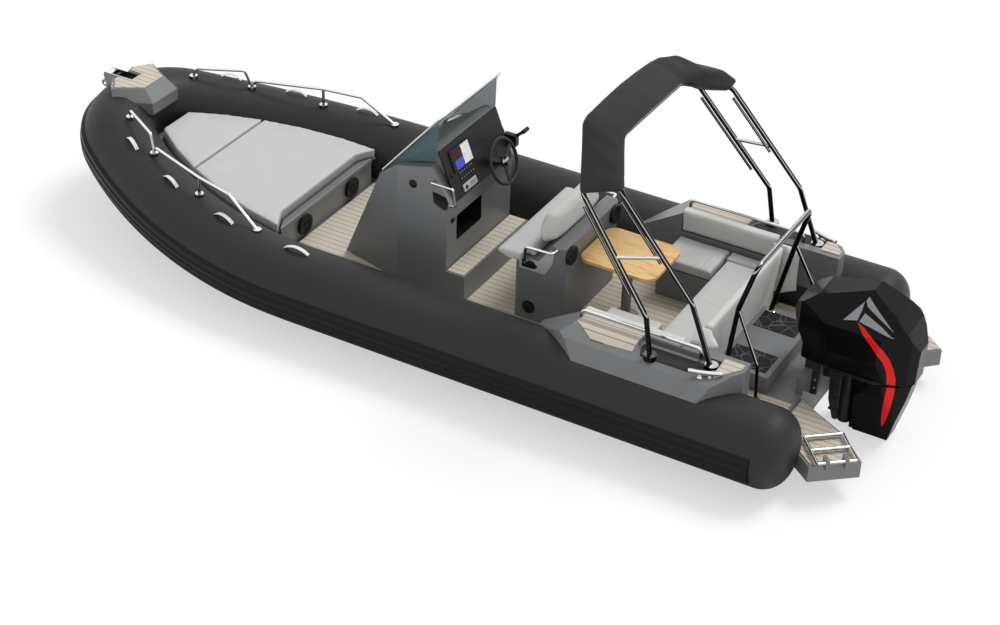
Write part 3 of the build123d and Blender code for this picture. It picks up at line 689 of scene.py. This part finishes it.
def swell(piece, cap):
    """Blows the piece up for a few frames and caps how far each point moves."""
    start = points_of(piece.data)
    cloth = piece.modifiers.new("cloth", "CLOTH")
    cloth.settings.use_pressure = True
    cloth.settings.uniform_pressure_force = PRESSURE
    cloth.settings.tension_stiffness = 20
    cloth.settings.compression_stiffness = 20
    cloth.settings.bending_stiffness = 2
    cloth.settings.effector_weights.gravity = 0
    for step in range(1, CLOTH_FRAMES + 1):
        bpy.context.scene.frame_set(step)
    applied(piece)
    bpy.context.scene.frame_set(1)
    moved = points_of(piece.data) - start
    length = np.linalg.norm(moved, axis=1, keepdims=True)
    share = np.minimum(1.0, cap / np.maximum(length, 1e-9))
    set_points(piece.data, start + moved * share)


def press_seam(piece, point, normal, width=0.007, depth=0.0035):
    """Presses a groove into the cover where a plane cuts it."""
    data = piece.data
    places = points_of(data)
    outward = np.zeros(len(data.vertices) * 3)
    data.vertices.foreach_get("normal", outward)
    normal = np.array(Vector(normal).normalized())
    far = np.abs((places - np.array(point)) @ normal) / width
    share = np.exp(-far * far)
    set_points(data, places - outward.reshape(-1, 3) * share[:, None] * depth)


def smoothed(piece, rounds):
    mesh = bmesh.new()
    mesh.from_mesh(piece.data)
    for _ in range(rounds):
        bmesh.ops.smooth_vert(mesh, verts=mesh.verts, factor=0.5, use_axis_x=True, use_axis_y=True,
                              use_axis_z=True)
    mesh.to_mesh(piece.data)
    mesh.free()


def cushion(name, mesh, body, voxel, cap, paint="upholstery", replaces=()):
    """A stuffed cushion, from a bmesh of its plain block."""
    slot = SLOT_OF[replaces[0]] if replaces else "upholstery"
    piece = hand_over(mesh, name, body, slot, paint, replaces)
    remesh = piece.modifiers.new("remesh", "REMESH")
    remesh.mode = "VOXEL"
    remesh.voxel_size = voxel
    applied(piece)
    smoothed(piece, 3)
    swell(piece, cap)
    smoothed(piece, 2)
    smooth = piece.modifiers.new("subdivide", "SUBSURF")
    smooth.levels = smooth.render_levels = 1
    applied(piece)
    for face in piece.data.polygons:
        face.use_smooth = True
    return piece


def shrunk(verts, low, high, by):
    """Moves points inwards from the faces of their box, to leave room for the swelling."""
    for vert in verts:
        for axis in range(3):
            side = 1 if vert.co[axis] < (low[axis] + high[axis]) / 2 else -1
            vert.co[axis] += side * by[axis]


def body_of(node):
    return next(name for name, members in frame["record"]["behaviour"]["bodies"].items() if node in members)


def node_parts(node):
    """The separate solids of a CAD node, each as a merged bmesh."""
    whole = bmesh.new()
    whole.from_mesh(nodes[node].data)
    bmesh.ops.remove_doubles(whole, verts=whole.verts, dist=0.00005)
    parts, left = [], set(whole.verts)
    while left:
        group, border = set(), [left.pop()]
        while border:
            vert = border.pop()
            group.add(vert)
            border += [other for edge in vert.link_edges for other in edge.verts if other in left]
            left -= {other for edge in vert.link_edges for other in edge.verts}
        part = whole.copy()
        part.verts.ensure_lookup_table()
        gone = [part.verts[vert.index] for vert in whole.verts if vert not in group]
        bmesh.ops.delete(part, geom=gone, context="VERTS")
        parts.append(part)
    whole.free()
    return sorted(parts, key=lambda part: -sum(vert.co.y for vert in part.verts))


# %% Every cushion
# node, voxel size, room left for the swelling, cap of the swelling, finish
CUSHIONS = [
    ("bow_pad_aft", 0.010, 0.001, 0.004, "upholstery"),
    ("bow_pad_forward", 0.010, 0.001, 0.004, "upholstery"),
    ("helm_seat_cushion", 0.009, 0.006, 0.012, "upholstery"),
    ("side_cushions", 0.010, 0.003, 0.006, "upholstery"),
    ("aft_cushion", 0.010, 0.003, 0.006, "upholstery"),
    ("aft_backrest", 0.010, 0.003, 0.006, "back_vinyl"),
    ("side_backrests", 0.009, 0.003, 0.006, "back_vinyl"),
]
cushions = {}


def make_cushions():
    for node, voxel, room, cap, paint in CUSHIONS:
        parts = node_parts(node)
        for side, mesh in zip(("", "_starboard") if len(parts) > 1 else ("",), parts):
            bmesh.ops.recalc_face_normals(mesh, faces=mesh.faces)
            low = [min(vert.co[axis] for vert in mesh.verts) for axis in range(3)]
            high = [max(vert.co[axis] for vert in mesh.verts) for axis in range(3)]
            shrunk(mesh.verts, low, high, (room, room, room))
            name = "sewn_" + node + side
            cushions[name] = cushion(name, mesh, body_of(node), voxel, cap, paint, replaces=(node,))


make_cushions()

# %% Corner pads of the aft seat
# plan outline on the port side, bottom and top of each pad, and how far the top falls outboard
CORNER_PADS = [
    ("corner_seat", [(1.072, 0.647), (1.072, 0.772), (0.735, 0.772), (0.735, 0.647)],
     0.518, 0.600, 0.0, "upholstery"),
    ("corner_back", [(0.717, 0.643), (0.717, 0.771), (0.560, 0.771), (0.492, 0.738), (0.600, 0.643)],
     0.430, 0.866, 0.075, "back_vinyl"),
]


def make_corner_pads():
    for name, plan, low, high, fall, paint in CORNER_PADS:
        for side, sign in (("", 1), ("_starboard", -1)):
            mesh = bmesh.new()
            verts = prism(mesh, [(x, y * sign, low) for x, y in plan], (0, 0, high - low))
            inner = min(y for _, y in plan)
            for vert in verts:
                if vert.co.z > low + 0.01:
                    vert.co.z -= fall * (abs(vert.co.y) - inner) / 0.13
            bmesh.ops.recalc_face_normals(mesh, faces=mesh.faces)
            lows = [min(vert.co[axis] for vert in mesh.verts) for axis in range(3)]
            highs = [max(vert.co[axis] for vert in mesh.verts) for axis in range(3)]
            shrunk(mesh.verts, lows, highs, (0.005, 0.005, 0.005))
            cushions[name + side] = cushion(name + side, mesh, "boat", 0.009, 0.008, paint)


make_corner_pads()

# %% [markdown]
# The helm backrest is a full bolster. Its section leans back, and its ends and top are well rounded.

# %% Helm backrest
BOLSTER = [(2.136, 0.884), (2.166, 1.000), (2.112, 1.162), (2.040, 1.162), (2.006, 0.966)]
BOLSTER_HALF = 0.352


def make_bolster():
    mesh = bmesh.new()
    prism(mesh, [(x, -BOLSTER_HALF, z) for x, z in BOLSTER], (0, 2 * BOLSTER_HALF, 0))
    bmesh.ops.recalc_face_normals(mesh, faces=mesh.faces)
    round_edges(mesh, 0.034, 5)
    cushions["helm_bolster"] = cushion("helm_bolster", mesh, "boat", 0.009, 0.010, "back_vinyl",
                                       replaces=("helm_backrest",))


make_bolster()

# %% Sewn seams
# cushion, place of the seam, direction across it
SEAMS = [
    ("sewn_helm_seat_cushion", (0, 0.300, 0), (0, 1, 0)),
    ("sewn_helm_seat_cushion", (0, -0.300, 0), (0, 1, 0)),
    ("helm_bolster", (0, 0.292, 0), (0, 1, 0)),
    ("helm_bolster", (0, -0.292, 0), (0, 1, 0)),
    ("sewn_side_cushions", (1.180, 0, 0), (1, 0, 0)),
    ("sewn_side_cushions_starboard", (1.180, 0, 0), (1, 0, 0)),
    ("sewn_aft_cushion", (0, 0.0, 0), (0, 1, 0)),
]

for name, point, across in SEAMS:
    press_seam(cushions[name], point, across)

# %% [markdown]
# ## Canvas sleeve on the roll bar
# The sleeve holds the folded awning round both hoops, so it is soft and a little full. Its sections
# run from the shoulder over the top to the centreline, and their mirror images close the other half,
# where the bundle makes the sleeve fuller. It is then swollen like the cushions, which rounds its edges.

# %% Sleeve
FORE_SHOULDER, FORE_TOP = Vector((1.528, 0.935, 1.800)), Vector((1.740, 0.540, 2.120))
AFT_SHOULDER, AFT_TOP = Vector((1.262, 0.905, 1.890)), Vector((1.480, 0.478, 2.060))
SLEEVE_THICK = 0.040
SLEEVE_EDGE = 0.027
# share of the way up from the shoulders, share of the way in to the centreline, rise of the crown, and
# how far the bundled canvas puffs out on the starboard half
SLEEVE_STATIONS = [(0.0, 0.0, 0.0, 0.050), (0.35, 0.0, 0.004, 0.105), (0.70, 0.0, 0.006, 0.080),
                   (0.94, 0.0, 0.008, 0.008), (1.0, 0.10, 0.010, -0.016), (1.0, 0.55, 0.022, -0.006),
                   (1.0, 1.0, 0.028, 0.0)]


def sleeve_ring(mesh, rise, cross, crown, puff, side):
    """One section of the sleeve across both hoops, as four corners."""
    ends = []
    for shoulder, top in ((FORE_SHOULDER, FORE_TOP), (AFT_SHOULDER, AFT_TOP)):
        point = shoulder.lerp(top, rise)
        ends.append(Vector((point.x, point.y * (1 - cross), point.z + crown)))
    wide = (ends[0] - ends[1]).normalized()
    lean = Vector((0, 0.95 - 0.5 * rise, 0.25 + 0.65 * rise)).lerp(Vector((0, 0, 1)), cross)
    thick = (lean - wide * lean.dot(wide)).normalized()
    centre = (ends[0] + ends[1]) / 2
    reach = (ends[0] - ends[1]).length / 2 + SLEEVE_EDGE
    corners = []
    for across, out in ((1, 1), (1, -1), (-1, -1), (-1, 1)):
        away = SLEEVE_THICK + (puff if out > 0 > side else 0)
        corner = centre + wide * across * reach + thick * out * away
        corners.append(mesh.verts.new((corner.x, corner.y * side, corner.z)))
    return corners


def make_sleeve():
    mesh = bmesh.new()
    stations = [(station, 1) for station in SLEEVE_STATIONS]
    stations += [(station, -1) for station in SLEEVE_STATIONS[-2::-1]]
    rings = [sleeve_ring(mesh, *station, side) for station, side in stations]
    for first, second in zip(rings, rings[1:]):
        for index in range(4):
            after = (index + 1) % 4
            mesh.faces.new((first[index], first[after], second[after], second[index]))
    for ring in (rings[0], rings[-1]):
        mesh.faces.new(ring)
    bmesh.ops.recalc_face_normals(mesh, faces=mesh.faces)
    round_edges(mesh, 0.028, 4)
    cushions["canvas_sleeve"] = cushion("canvas_sleeve", mesh, "boat", 0.011, 0.008, "cover_fabric",
                                        replaces=("roll_bar_cover",))


make_sleeve()
print("cushions", sorted(cushions), "faces", sum(len(c.data.polygons) for c in cushions.values()))

# %% [markdown]
# ## Thin things that lie on a surface
# A painted flash or a grip pad follows the face it is stuck on. Its outline is cut into small faces,
# and each point is dropped along a direction until it meets that surface. Bump in a material would
# give the colour but no edge, so each one gets a real thickness of about a millimetre.

# %% Helpers for thin things
from mathutils.bvhtree import BVHTree


def surface_of(*names):
    """A searchable copy of some solids' surfaces."""
    mesh = bmesh.new()
    for name in names:
        mesh.from_mesh(nodes[name].data)
    tree = BVHTree.FromBMesh(mesh)
    mesh.free()
    return tree


def joined(mesh, part):
    """Adds one bmesh to another."""
    data = bpy.data.meshes.new("part")
    part.to_mesh(data)
    part.free()
    mesh.from_mesh(data)
    bpy.data.meshes.remove(data)


def sticker(mesh, outline, direction, surface, thick=0.0012, longest=0.02):
    """Adds a thin sheet of an outline's shape, dropped along a direction onto a surface."""
    part = bmesh.new()
    part.faces.new([part.verts.new(point) for point in outline])
    long_edges = part.edges[:]
    while long_edges:
        bmesh.ops.subdivide_edges(part, edges=long_edges, cuts=1)
        bmesh.ops.triangulate(part, faces=part.faces)
        long_edges = [edge for edge in part.edges if edge.calc_length() > longest]
    direction = Vector(direction)
    for vert in part.verts:
        met = surface.ray_cast(vert.co, direction)[0]
        if met:
            vert.co = met + direction * thick * 0.2
    made = bmesh.ops.extrude_face_region(part, geom=part.faces[:])["geom"]
    moved = [item for item in made if isinstance(item, bmesh.types.BMVert)]
    bmesh.ops.translate(part, verts=moved, vec=-direction * thick)
    joined(mesh, part)


# %% [markdown]
# ## Flashes on the engine
# The cowl has a red flash down each side and two silver facets above it. They are paint on the real
# engine, so they are stickers here, laid on from the side. No word or badge is drawn.

# %% Engine flashes
# x and z of the red flash on the cowl, then its lower end on the apron
RED_ON_COWL = [(-0.289, 0.972), (-0.345, 0.950), (-0.430, 0.895), (-0.501, 0.835), (-0.560, 0.755),
               (-0.595, 0.675), (-0.617, 0.600), (-0.622, 0.543), (-0.565, 0.543), (-0.560, 0.600),
               (-0.545, 0.665), (-0.515, 0.729), (-0.465, 0.790), (-0.413, 0.845), (-0.350, 0.905)]
RED_ON_APRON = [(-0.620, 0.509), (-0.616, 0.400), (-0.605, 0.300), (-0.580, 0.190), (-0.556, 0.120),
                (-0.548, 0.190), (-0.552, 0.300), (-0.562, 0.400), (-0.566, 0.509)]
SILVER_FACETS = [
    [(-0.325, 1.041), (-0.301, 0.978), (-0.574, 0.931), (-0.470, 0.985)],
    [(-0.186, 0.958), (-0.302, 1.112), (-0.299, 1.058), (-0.287, 0.982)],
    [(-0.310, 1.120), (-0.323, 1.148), (-0.400, 1.088), (-0.560, 0.975), (-0.410, 1.045), (-0.330, 1.085)],
]
BESIDE = 0.5
INWARD = (0, -1, 0)
engine_skin = surface_of("cowl", "engine_apron")


def from_the_side(outline):
    return [(x, BESIDE, z) for x, z in outline]


def make_flashes():
    red, silver = bmesh.new(), bmesh.new()
    sticker(red, from_the_side(RED_ON_COWL), INWARD, engine_skin)
    sticker(red, from_the_side(RED_ON_APRON), INWARD, engine_skin)
    for outline in SILVER_FACETS:
        sticker(silver, from_the_side(outline), INWARD, engine_skin)
    for mesh in (red, silver):
        mirrored(mesh)
    hand_over(red, "red_flashes", "engine", "engine_cowl", "red_flash")
    hand_over(silver, "silver_facets", "engine", "engine_cowl", "silver_flash")


make_flashes()

# %% Band between the cowl and the leg
# drawn in at the front, where it swings past the clamp bracket when the engine is tilted and steered
SEAL = [(0.010, 0.0), (0.005, 0.088), (-0.085, 0.098), (-0.125, 0.205), (-0.460, 0.205),
        (-0.660, 0.120), (-0.700, 0.050)]
SEAL_FOOT, SEAL_HEIGHT = 0.5135, 0.027


def make_seal():
    """The rubber band that closes the joint under the cowl."""
    mesh = bmesh.new()
    half = [(x, y, SEAL_FOOT) for x, y in SEAL]
    ring = half + [(x, -y, z) for x, y, z in reversed(half) if y]
    prism(mesh, ring, (0, 0, SEAL_HEIGHT))
    hand_over(mesh, "cowl_seal", "engine", "engine_cowl", "black_plastic")


make_seal()

# %% [markdown]
# ## Dash, screen and switches
# Everything on the dash lies in one leaning plane. `dash` turns a height up that plane, a distance
# out of it and a place across the boat into a point, so each fitting is given in plain numbers.

# %% The dash plane
DASH_FOOT = Vector((2.838, 0, 1.060))
DASH_UP = Vector((0.38186, 0, 0.92424))
DASH_OUT = Vector((-0.92424, 0, 0.38186))
PANEL_FACE = 0.016


def dash(up, across, out=PANEL_FACE):
    return DASH_FOOT + DASH_UP * up + DASH_OUT * out + Vector((0, across, 0))


def dash_plate(mesh, low, high, out, thick, rounding=0.0):
    """Adds a plate on the dash between two (up, across) corners."""
    part = bmesh.new()
    corners = [(low[0], low[1]), (high[0], low[1]), (high[0], high[1]), (low[0], high[1])]
    prism(part, [dash(up, across, out) for up, across in corners], DASH_OUT * thick)
    bmesh.ops.recalc_face_normals(part, faces=part.faces)
    if rounding:
        round_edges(part, rounding)
    joined(mesh, part)


# %% Display
SCREEN_LOW, SCREEN_HIGH = (0.200, 0.060), (0.358, 0.292)
KEYS = [(0.212 + 0.032 * row, 0.312) for row in range(5)]


def screen_picture():
    """A plain chart: pale land and depth lines on one half, a blue sounder under dark rows on the other."""
    finish = Finish("lit screen", (0.02, 0.02, 0.02), 0.25, Emission_Strength=0.8, Specular_IOR_Level=0.1)
    _, across, z = finish.axes(finish.place())
    side = (across - SCREEN_LOW[1]) / (SCREEN_HIGH[1] - SCREEN_LOW[1])
    rise = (z - 1.249) / 0.136
    chart = finish.noise(finish.place(), 26.0, 2.0)
    contour = ((chart * 9.0).math("FRACT") - 0.5).math("ABSOLUTE") < 0.09
    land = finish.mix(chart > 0.56, (0.80, 0.84, 0.90), (0.86, 0.76, 0.36))
    chart_side = finish.mix(contour, land, (0.42, 0.46, 0.52))
    bars = ((side * 14.0).math("FRACT") > 0.16) * 1.0
    sounder = finish.mix(bars, (0.02, 0.03, 0.12), (0.06, 0.12, 0.78))
    rows = ((rise * 11.0).math("FRACT") > 0.62) * ((side * 6.0).math("FRACT") > 0.45)
    gauges = finish.mix(rows, (0.006, 0.003, 0.003), (0.22, 0.03, 0.02))
    instruments = finish.mix(rise > 0.52, sounder, gauges)
    picture = finish.mix(side > 0.5, chart_side, instruments)
    glass = finish.mix(side > 0.5, (0.1, 0.1, 0.1), (0.005, 0.005, 0.005))
    finish.paint(Emission_Color=picture, Base_Color=glass)
    return finish


PAINT["screen_picture"] = finish_of(screen_picture)


KEY_PROFILE = [(0, 0.005), (0.006, 0.005), (0.0075, 0.0035), (0.0075, 0)]


def make_display():
    glass, keys = bmesh.new(), bmesh.new()
    dash_plate(glass, SCREEN_LOW, SCREEN_HIGH, 0.0242, 0.0008)
    hand_over(glass, "chart_screen", "boat", "screen", "screen_picture")
    for up, across in ((0.196, 0.0), (0.356, 0.0)):
        dash_plate(keys, (up, 0.062), (up + 0.006, 0.328), 0.0241, 0.003, 0.001)
    for across in (0.060, 0.325):
        dash_plate(keys, (0.196, across), (0.362, across + 0.006), 0.0241, 0.003, 0.001)
    for up, across in KEYS:
        turned(keys, KEY_PROFILE, dash(up, across, 0.024), DASH_OUT, 16)
    hand_over(keys, "display_rim_and_keys", "boat", "screen", "grip_rubber")


# %% Switches and the grey control panel
SWITCH_UPS = (0.100, 0.148)
SWITCH_COUNT = 6


def make_switches():
    body, marks = bmesh.new(), bmesh.new()
    for up in SWITCH_UPS:
        for index in range(SWITCH_COUNT):
            across = 0.095 + 0.033 * index
            dash_plate(body, (up, across), (up + 0.034, across + 0.024), PANEL_FACE, 0.006, 0.0015)
            dash_plate(marks, (up + 0.024, across + 0.008), (up + 0.028, across + 0.016),
                       PANEL_FACE + 0.0061, 0.0006)
    hand_over(body, "rocker_switches", "boat", "black_plastic", "grip_rubber")
    hand_over(marks, "switch_lamps", "boat", "black_plastic", "webbing")
    panel = bmesh.new()
    dash_plate(panel, (0.020, 0.105), (0.078, 0.292), PANEL_FACE, 0.009, 0.003)
    hand_over(panel, "control_panel", "boat", "black_plastic", "light_plastic")
    slots = bmesh.new()
    for up in (0.036, 0.048, 0.060):
        dash_plate(slots, (up, 0.120), (up + 0.004, 0.205), PANEL_FACE + 0.0088, 0.0008)
    knob = [(0, 0.008), (0.013, 0.008), (0.015, 0.006), (0.016, 0)]
    turned(slots, knob, dash(0.049, 0.255, 0.0245), DASH_OUT, 28)
    hand_over(slots, "control_panel_slots", "boat", "black_plastic")


def light_plastic():
    finish = Finish("light plastic", (0.42, 0.43, 0.43), 0.5)
    cloud = finish.noise(finish.place(), 300.0)
    finish.paint(Base_Color=finish.mix(cloud, (0.38, 0.39, 0.39), (0.46, 0.47, 0.47)))
    finish.bump(cloud, 0.2, 0.0004)
    return finish


PAINT["light_plastic"] = finish_of(light_plastic)
PAINT["grip_rubber"] = PAINT["wheel_rim"]
make_display()
make_switches()

# %% [markdown]
# ## Round fittings
# Loudspeakers, the side lamp and the vent are turned parts. Each one is a half profile of radius and
# height that is spun about its axis, as it would be on a lathe.

# %% Loudspeakers
# centre and radius of each loudspeaker's face; all of them look aft
SPEAKER_PLACES = [((4.248, 0.34, 0.368), 0.0875), ((4.248, -0.34, 0.368), 0.0875),
                  ((1.876, 0.35, 0.880), 0.075), ((1.876, -0.35, 0.880), 0.075)]
AFT = (-1, 0, 0)
SPEAKER_PROFILE = [(0.0, -0.030), (0.16, -0.032), (0.30, -0.10), (0.32, -0.11), (0.62, -0.020),
                   (0.72, 0.030), (0.78, 0.045), (0.84, 0.030),
                   (0.88, 0.060), (0.97, 0.060), (1.01, 0.030), (1.01, -0.12), (0.0, -0.12)]


def make_speakers():
    cones = bmesh.new()
    for place, radius in SPEAKER_PLACES:
        foot = Vector(place) + Vector(AFT) * radius * 0.121
        profile = [(share * radius, height * radius) for share, height in SPEAKER_PROFILE]
        turned(cones, profile, foot, AFT, 48)
        for spoke in range(6):
            angle = pi / 3 * spoke
            inner = foot + Vector((-0.004, cos(angle) * radius * 0.14, sin(angle) * radius * 0.14))
            outer = foot + Vector((-0.006, cos(angle) * radius * 0.90, sin(angle) * radius * 0.90))
            bar(cones, inner, outer, 0.0022, 8)
    hand_over(cones, "speaker_cones", "boat", "black_plastic")


make_speakers()

# %% Small round fittings on the console and the seat
ROUND_PROFILE = [(0, 0.55), (0.30, 0.52), (0.52, 0.40), (0.60, 0.18), (0.66, 0.14), (1.0, 0.12),
                 (1.02, 0.0), (1.02, -0.04), (0, -0.04)]
# place, direction, radius
ROUND_FITTINGS = [
    ((3.162, 0.490, 1.153), (0, 1, 0), 0.034),
    ((2.172, 0.440, 0.373), (0, 1, 0), 0.052),
    ((2.868, 0.400, 0.888), AFT, 0.030),
]


def make_round_fittings():
    mesh = bmesh.new()
    for place, direction, radius in ROUND_FITTINGS:
        profile = [(share * radius, height * radius) for share, height in ROUND_PROFILE]
        turned(mesh, profile, place, direction, 36)
    turned(mesh, [(0, 0.012), (0.012, 0.012), (0.016, 0.008), (0.020, 0.0)], dash(0.195, 0.372), DASH_OUT, 28)
    hand_over(mesh, "round_fittings", "boat", "black_plastic")


make_round_fittings()

# %% [markdown]
# ## Console pocket, niche and ledges
# The pocket beside the grab rail and the niche below the dash are black mouldings let into the
# console. The niche stays open, so its lining is a thin box with rounded corners and no front.

# %% Pocket and niche
POCKET = [(2.988, 1.140), (2.978, 1.050), (2.890, 1.012), (2.866, 1.020), (2.852, 1.070), (2.872, 1.122)]
NICHE_LOW, NICHE_HIGH = (2.8665, -0.0345, 0.6785), (3.159, 0.3415, 0.8975)


def make_pocket():
    mesh = bmesh.new()
    prism(mesh, [(x, 0.4895, z) for x, z in POCKET], (0, 0.006, 0))
    bmesh.ops.recalc_face_normals(mesh, faces=mesh.faces)
    outer = max(mesh.faces, key=lambda face: face.calc_center_median().y)
    bmesh.ops.inset_region(mesh, faces=[outer], thickness=0.008, depth=0)
    bmesh.ops.translate(mesh, verts=outer.verts[:], vec=(0, -0.0045, 0))
    mirrored(mesh)
    hand_over(mesh, "console_pockets", "boat", "black_plastic")


def make_niche_lining():
    mesh = bmesh.new()
    block(mesh, NICHE_LOW, NICHE_HIGH)
    long_edges = [edge for edge in mesh.edges if abs(edge.verts[0].co.x - edge.verts[1].co.x) > 0.1]
    bmesh.ops.bevel(mesh, geom=long_edges, offset=0.0215, segments=6, affect="EDGES", profile=0.5,
                    material=-1)
    bmesh.ops.recalc_face_normals(mesh, faces=mesh.faces)
    front = min(mesh.faces, key=lambda face: face.calc_center_median().x)
    bmesh.ops.delete(mesh, geom=[front], context="FACES_ONLY")
    bmesh.ops.solidify(mesh, geom=mesh.faces[:], thickness=0.002)
    hand_over(mesh, "niche_lining", "boat", "black_plastic")


make_pocket()
make_niche_lining()

# %% Ledge behind the sun pad
LEDGE = [(4.256, 0.655), (4.272, 0.655), (4.325, 0.534)]


def make_ledge():
    """The moulded edge that closes the top of the bow locker's wall, just behind its lid."""
    mesh = bmesh.new()
    half = [(x, y, 0.4472) for x, y in LEDGE]
    prism(mesh, half + [(x, -y, z) for x, y, z in reversed(half)], (0, 0, 0.040))
    bmesh.ops.recalc_face_normals(mesh, faces=mesh.faces)
    upper = [edge for edge in mesh.edges if all(vert.co.z > 0.48 for vert in edge.verts)]
    bmesh.ops.bevel(mesh, geom=upper, offset=0.010, segments=4, affect="EDGES", profile=0.5, material=-1)
    hand_over(mesh, "locker_ledge", "boat", "gelcoat")


make_ledge()

# %% [markdown]
# ## Side mouldings, cleats and small metal
# A black grip pad lies in each moulding's recess, round the feet of the roll bar. The cleats are
# cast: two horns that rise a little from a waist, on two feet.

# %% Recess pads
RECESS_PAD = [(0.425, 0.930), (0.425, 0.984), (0.568, 1.070), (0.950, 1.070), (0.985, 0.984), (0.985, 0.930)]


def make_recess_pads():
    mesh = bmesh.new()
    sticker(mesh, [(x, y, 1.2) for x, y in RECESS_PAD], (0, 0, -1), surface_of("side_mouldings"), thick=0.003)
    mirrored(mesh)
    hand_over(mesh, "recess_pads", "boat", "black_plastic", "grip_rubber")


make_recess_pads()

# %% Cleats
CLEAT_AT = Vector((0.455, 1.060, 0.782))
HORNS = [(-0.118, 0.004), (-0.100, 0.005), (-0.055, 0.0), (0.055, 0.0), (0.100, 0.005), (0.118, 0.004)]
HORN_TURN = radians(20)
CLEAT_FOOT = [(0, 0), (0.022, 0), (0.022, 0.004), (0.014, 0.014), (0.012, 0.046), (0, 0.046)]


def make_cleats():
    mesh = bmesh.new()
    tube_along(mesh, [CLEAT_AT + Vector((x, 0, z)) for x, z in HORNS], 0.0160, 16)
    block(mesh, CLEAT_AT + Vector((-0.050, -0.013, -0.014)), CLEAT_AT + Vector((0.050, 0.013, 0.008)))
    for x in (-0.035, 0.035):
        foot = CLEAT_AT + Vector((x, 0, -0.045))
        turned(mesh, CLEAT_FOOT, foot, (0, 0, 1), 24)
    bmesh.ops.rotate(mesh, verts=mesh.verts, cent=CLEAT_AT, matrix=Matrix.Rotation(HORN_TURN, 3, "Z"))
    mirrored(mesh)
    hand_over(mesh, "cast_cleats", "boat", "stainless", replaces=("cleats",))


make_cleats()

# %% Wheel cap
WHEEL_CENTRE = DASH_FOOT + DASH_UP * 0.062 + DASH_OUT * 0.118 + Vector((0, -0.16, 0))
CAP = [(0, 0.030), (0.018, 0.029), (0.034, 0.024), (0.043, 0.0195), (0.0455, 0.0195),
       (0.0455, 0.012), (0, 0.012)]


def make_wheel_cap():
    mesh = bmesh.new()
    turned(mesh, CAP, WHEEL_CENTRE, DASH_OUT, 40)
    hand_over(mesh, "wheel_cap", body_of("helm_wheel"), "wheel_rim", "dark_rail")


make_wheel_cap()

# %% [markdown]
# ## Engine bracket
# The swivel casting in front of the leg is deep and ribbed, and it tilts with the engine but does
# not steer. The clamp plates are bolted through the transom, so each shows two washers and nuts.

# %% Swivel casting and bolts
CASTING = [(-0.108, 0.425), (-0.203, 0.425), (-0.203, 0.020), (-0.165, 0.020), (-0.118, 0.180)]
CASTING_HALF = 0.078
RIB_HEIGHTS = (0.10, 0.20, 0.30, 0.385)
BOLT_PLACES = [(-0.024, 0.280), (-0.024, 0.350)]


def make_bracket_details():
    mesh = bmesh.new()
    prism(mesh, [(x, -CASTING_HALF, z) for x, z in CASTING], (0, 2 * CASTING_HALF, 0))
    bmesh.ops.recalc_face_normals(mesh, faces=mesh.faces)
    round_edges(mesh, 0.010)
    for height in RIB_HEIGHTS:
        block(mesh, (-0.198, -CASTING_HALF - 0.007, height), (-0.130, CASTING_HALF + 0.007, height + 0.012))
    hand_over(mesh, "swivel_casting", "engine_swivel", "engine_bracket")
    bolts = bmesh.new()
    for x, z in BOLT_PLACES:
        for side in (-1, 1):
            foot, out = (x, side * 0.1495, z), (0, side, 0)
            turned(bolts, [(0, 0.004), (0.016, 0.004), (0.017, 0.002), (0.017, 0)], foot, out, 24)
            bar(bolts, (x, side * 0.1525, z), (x, side * 0.1635, z), 0.011, 6)
    hand_over(bolts, "transom_bolts", "boat", "stainless")


make_bracket_details()

# %% Foot plates of the roll bar and the ski mast
# place of the foot on the port side, radius of the plate
FOOT_PLATES = [((0.568, 0.397, 0.4402), 0.040), ((0.262, 0.540, 0.3082), 0.034)]
PLATE_PROFILE = [(0, 0.010), (0.56, 0.010), (0.62, 0.006), (0.94, 0.005), (1.0, 0.003), (1.0, 0.0), (0, 0.0)]


def make_foot_plates():
    mesh = bmesh.new()
    for place, radius in FOOT_PLATES:
        turned(mesh, [(share * radius, height) for share, height in PLATE_PROFILE], place, (0, 0, 1), 32)
    mirrored(mesh)
    hand_over(mesh, "mast_foot_plates", "boat", "stainless")


make_foot_plates()

# %% Seat sides
SEAT_SIDE = [(2.262, 0.792), (2.105, 0.800), (2.010, 0.925), (1.970, 0.930), (1.990, 0.800),
             (2.045, 0.700), (2.262, 0.700)]
SEAT_VENT = [(2.240, 0.782), (2.150, 0.786), (2.105, 0.748), (2.135, 0.722), (2.240, 0.716)]
SEAT_FACE, CHEEK_THICK = 0.4395, 0.006
VENT_FACE, VENT_THICK = 0.4450, 0.0025


def make_seat_sides():
    """Pale moulded cheeks on the helm seat's base, under the rails, with a black vent."""
    pale, vent = bmesh.new(), bmesh.new()
    prism(pale, [(x, SEAT_FACE, z) for x, z in SEAT_SIDE], (0, CHEEK_THICK, 0))
    prism(vent, [(x, VENT_FACE, z) for x, z in SEAT_VENT], (0, VENT_THICK, 0))
    for mesh in (pale, vent):
        bmesh.ops.recalc_face_normals(mesh, faces=mesh.faces)
        round_edges(mesh, 0.0008, 2)
        mirrored(mesh)
    hand_over(pale, "seat_cheeks", "boat", "gelcoat", "light_plastic")
    hand_over(vent, "seat_vents", "boat", "gelcoat", "black_plastic")


make_seat_sides()
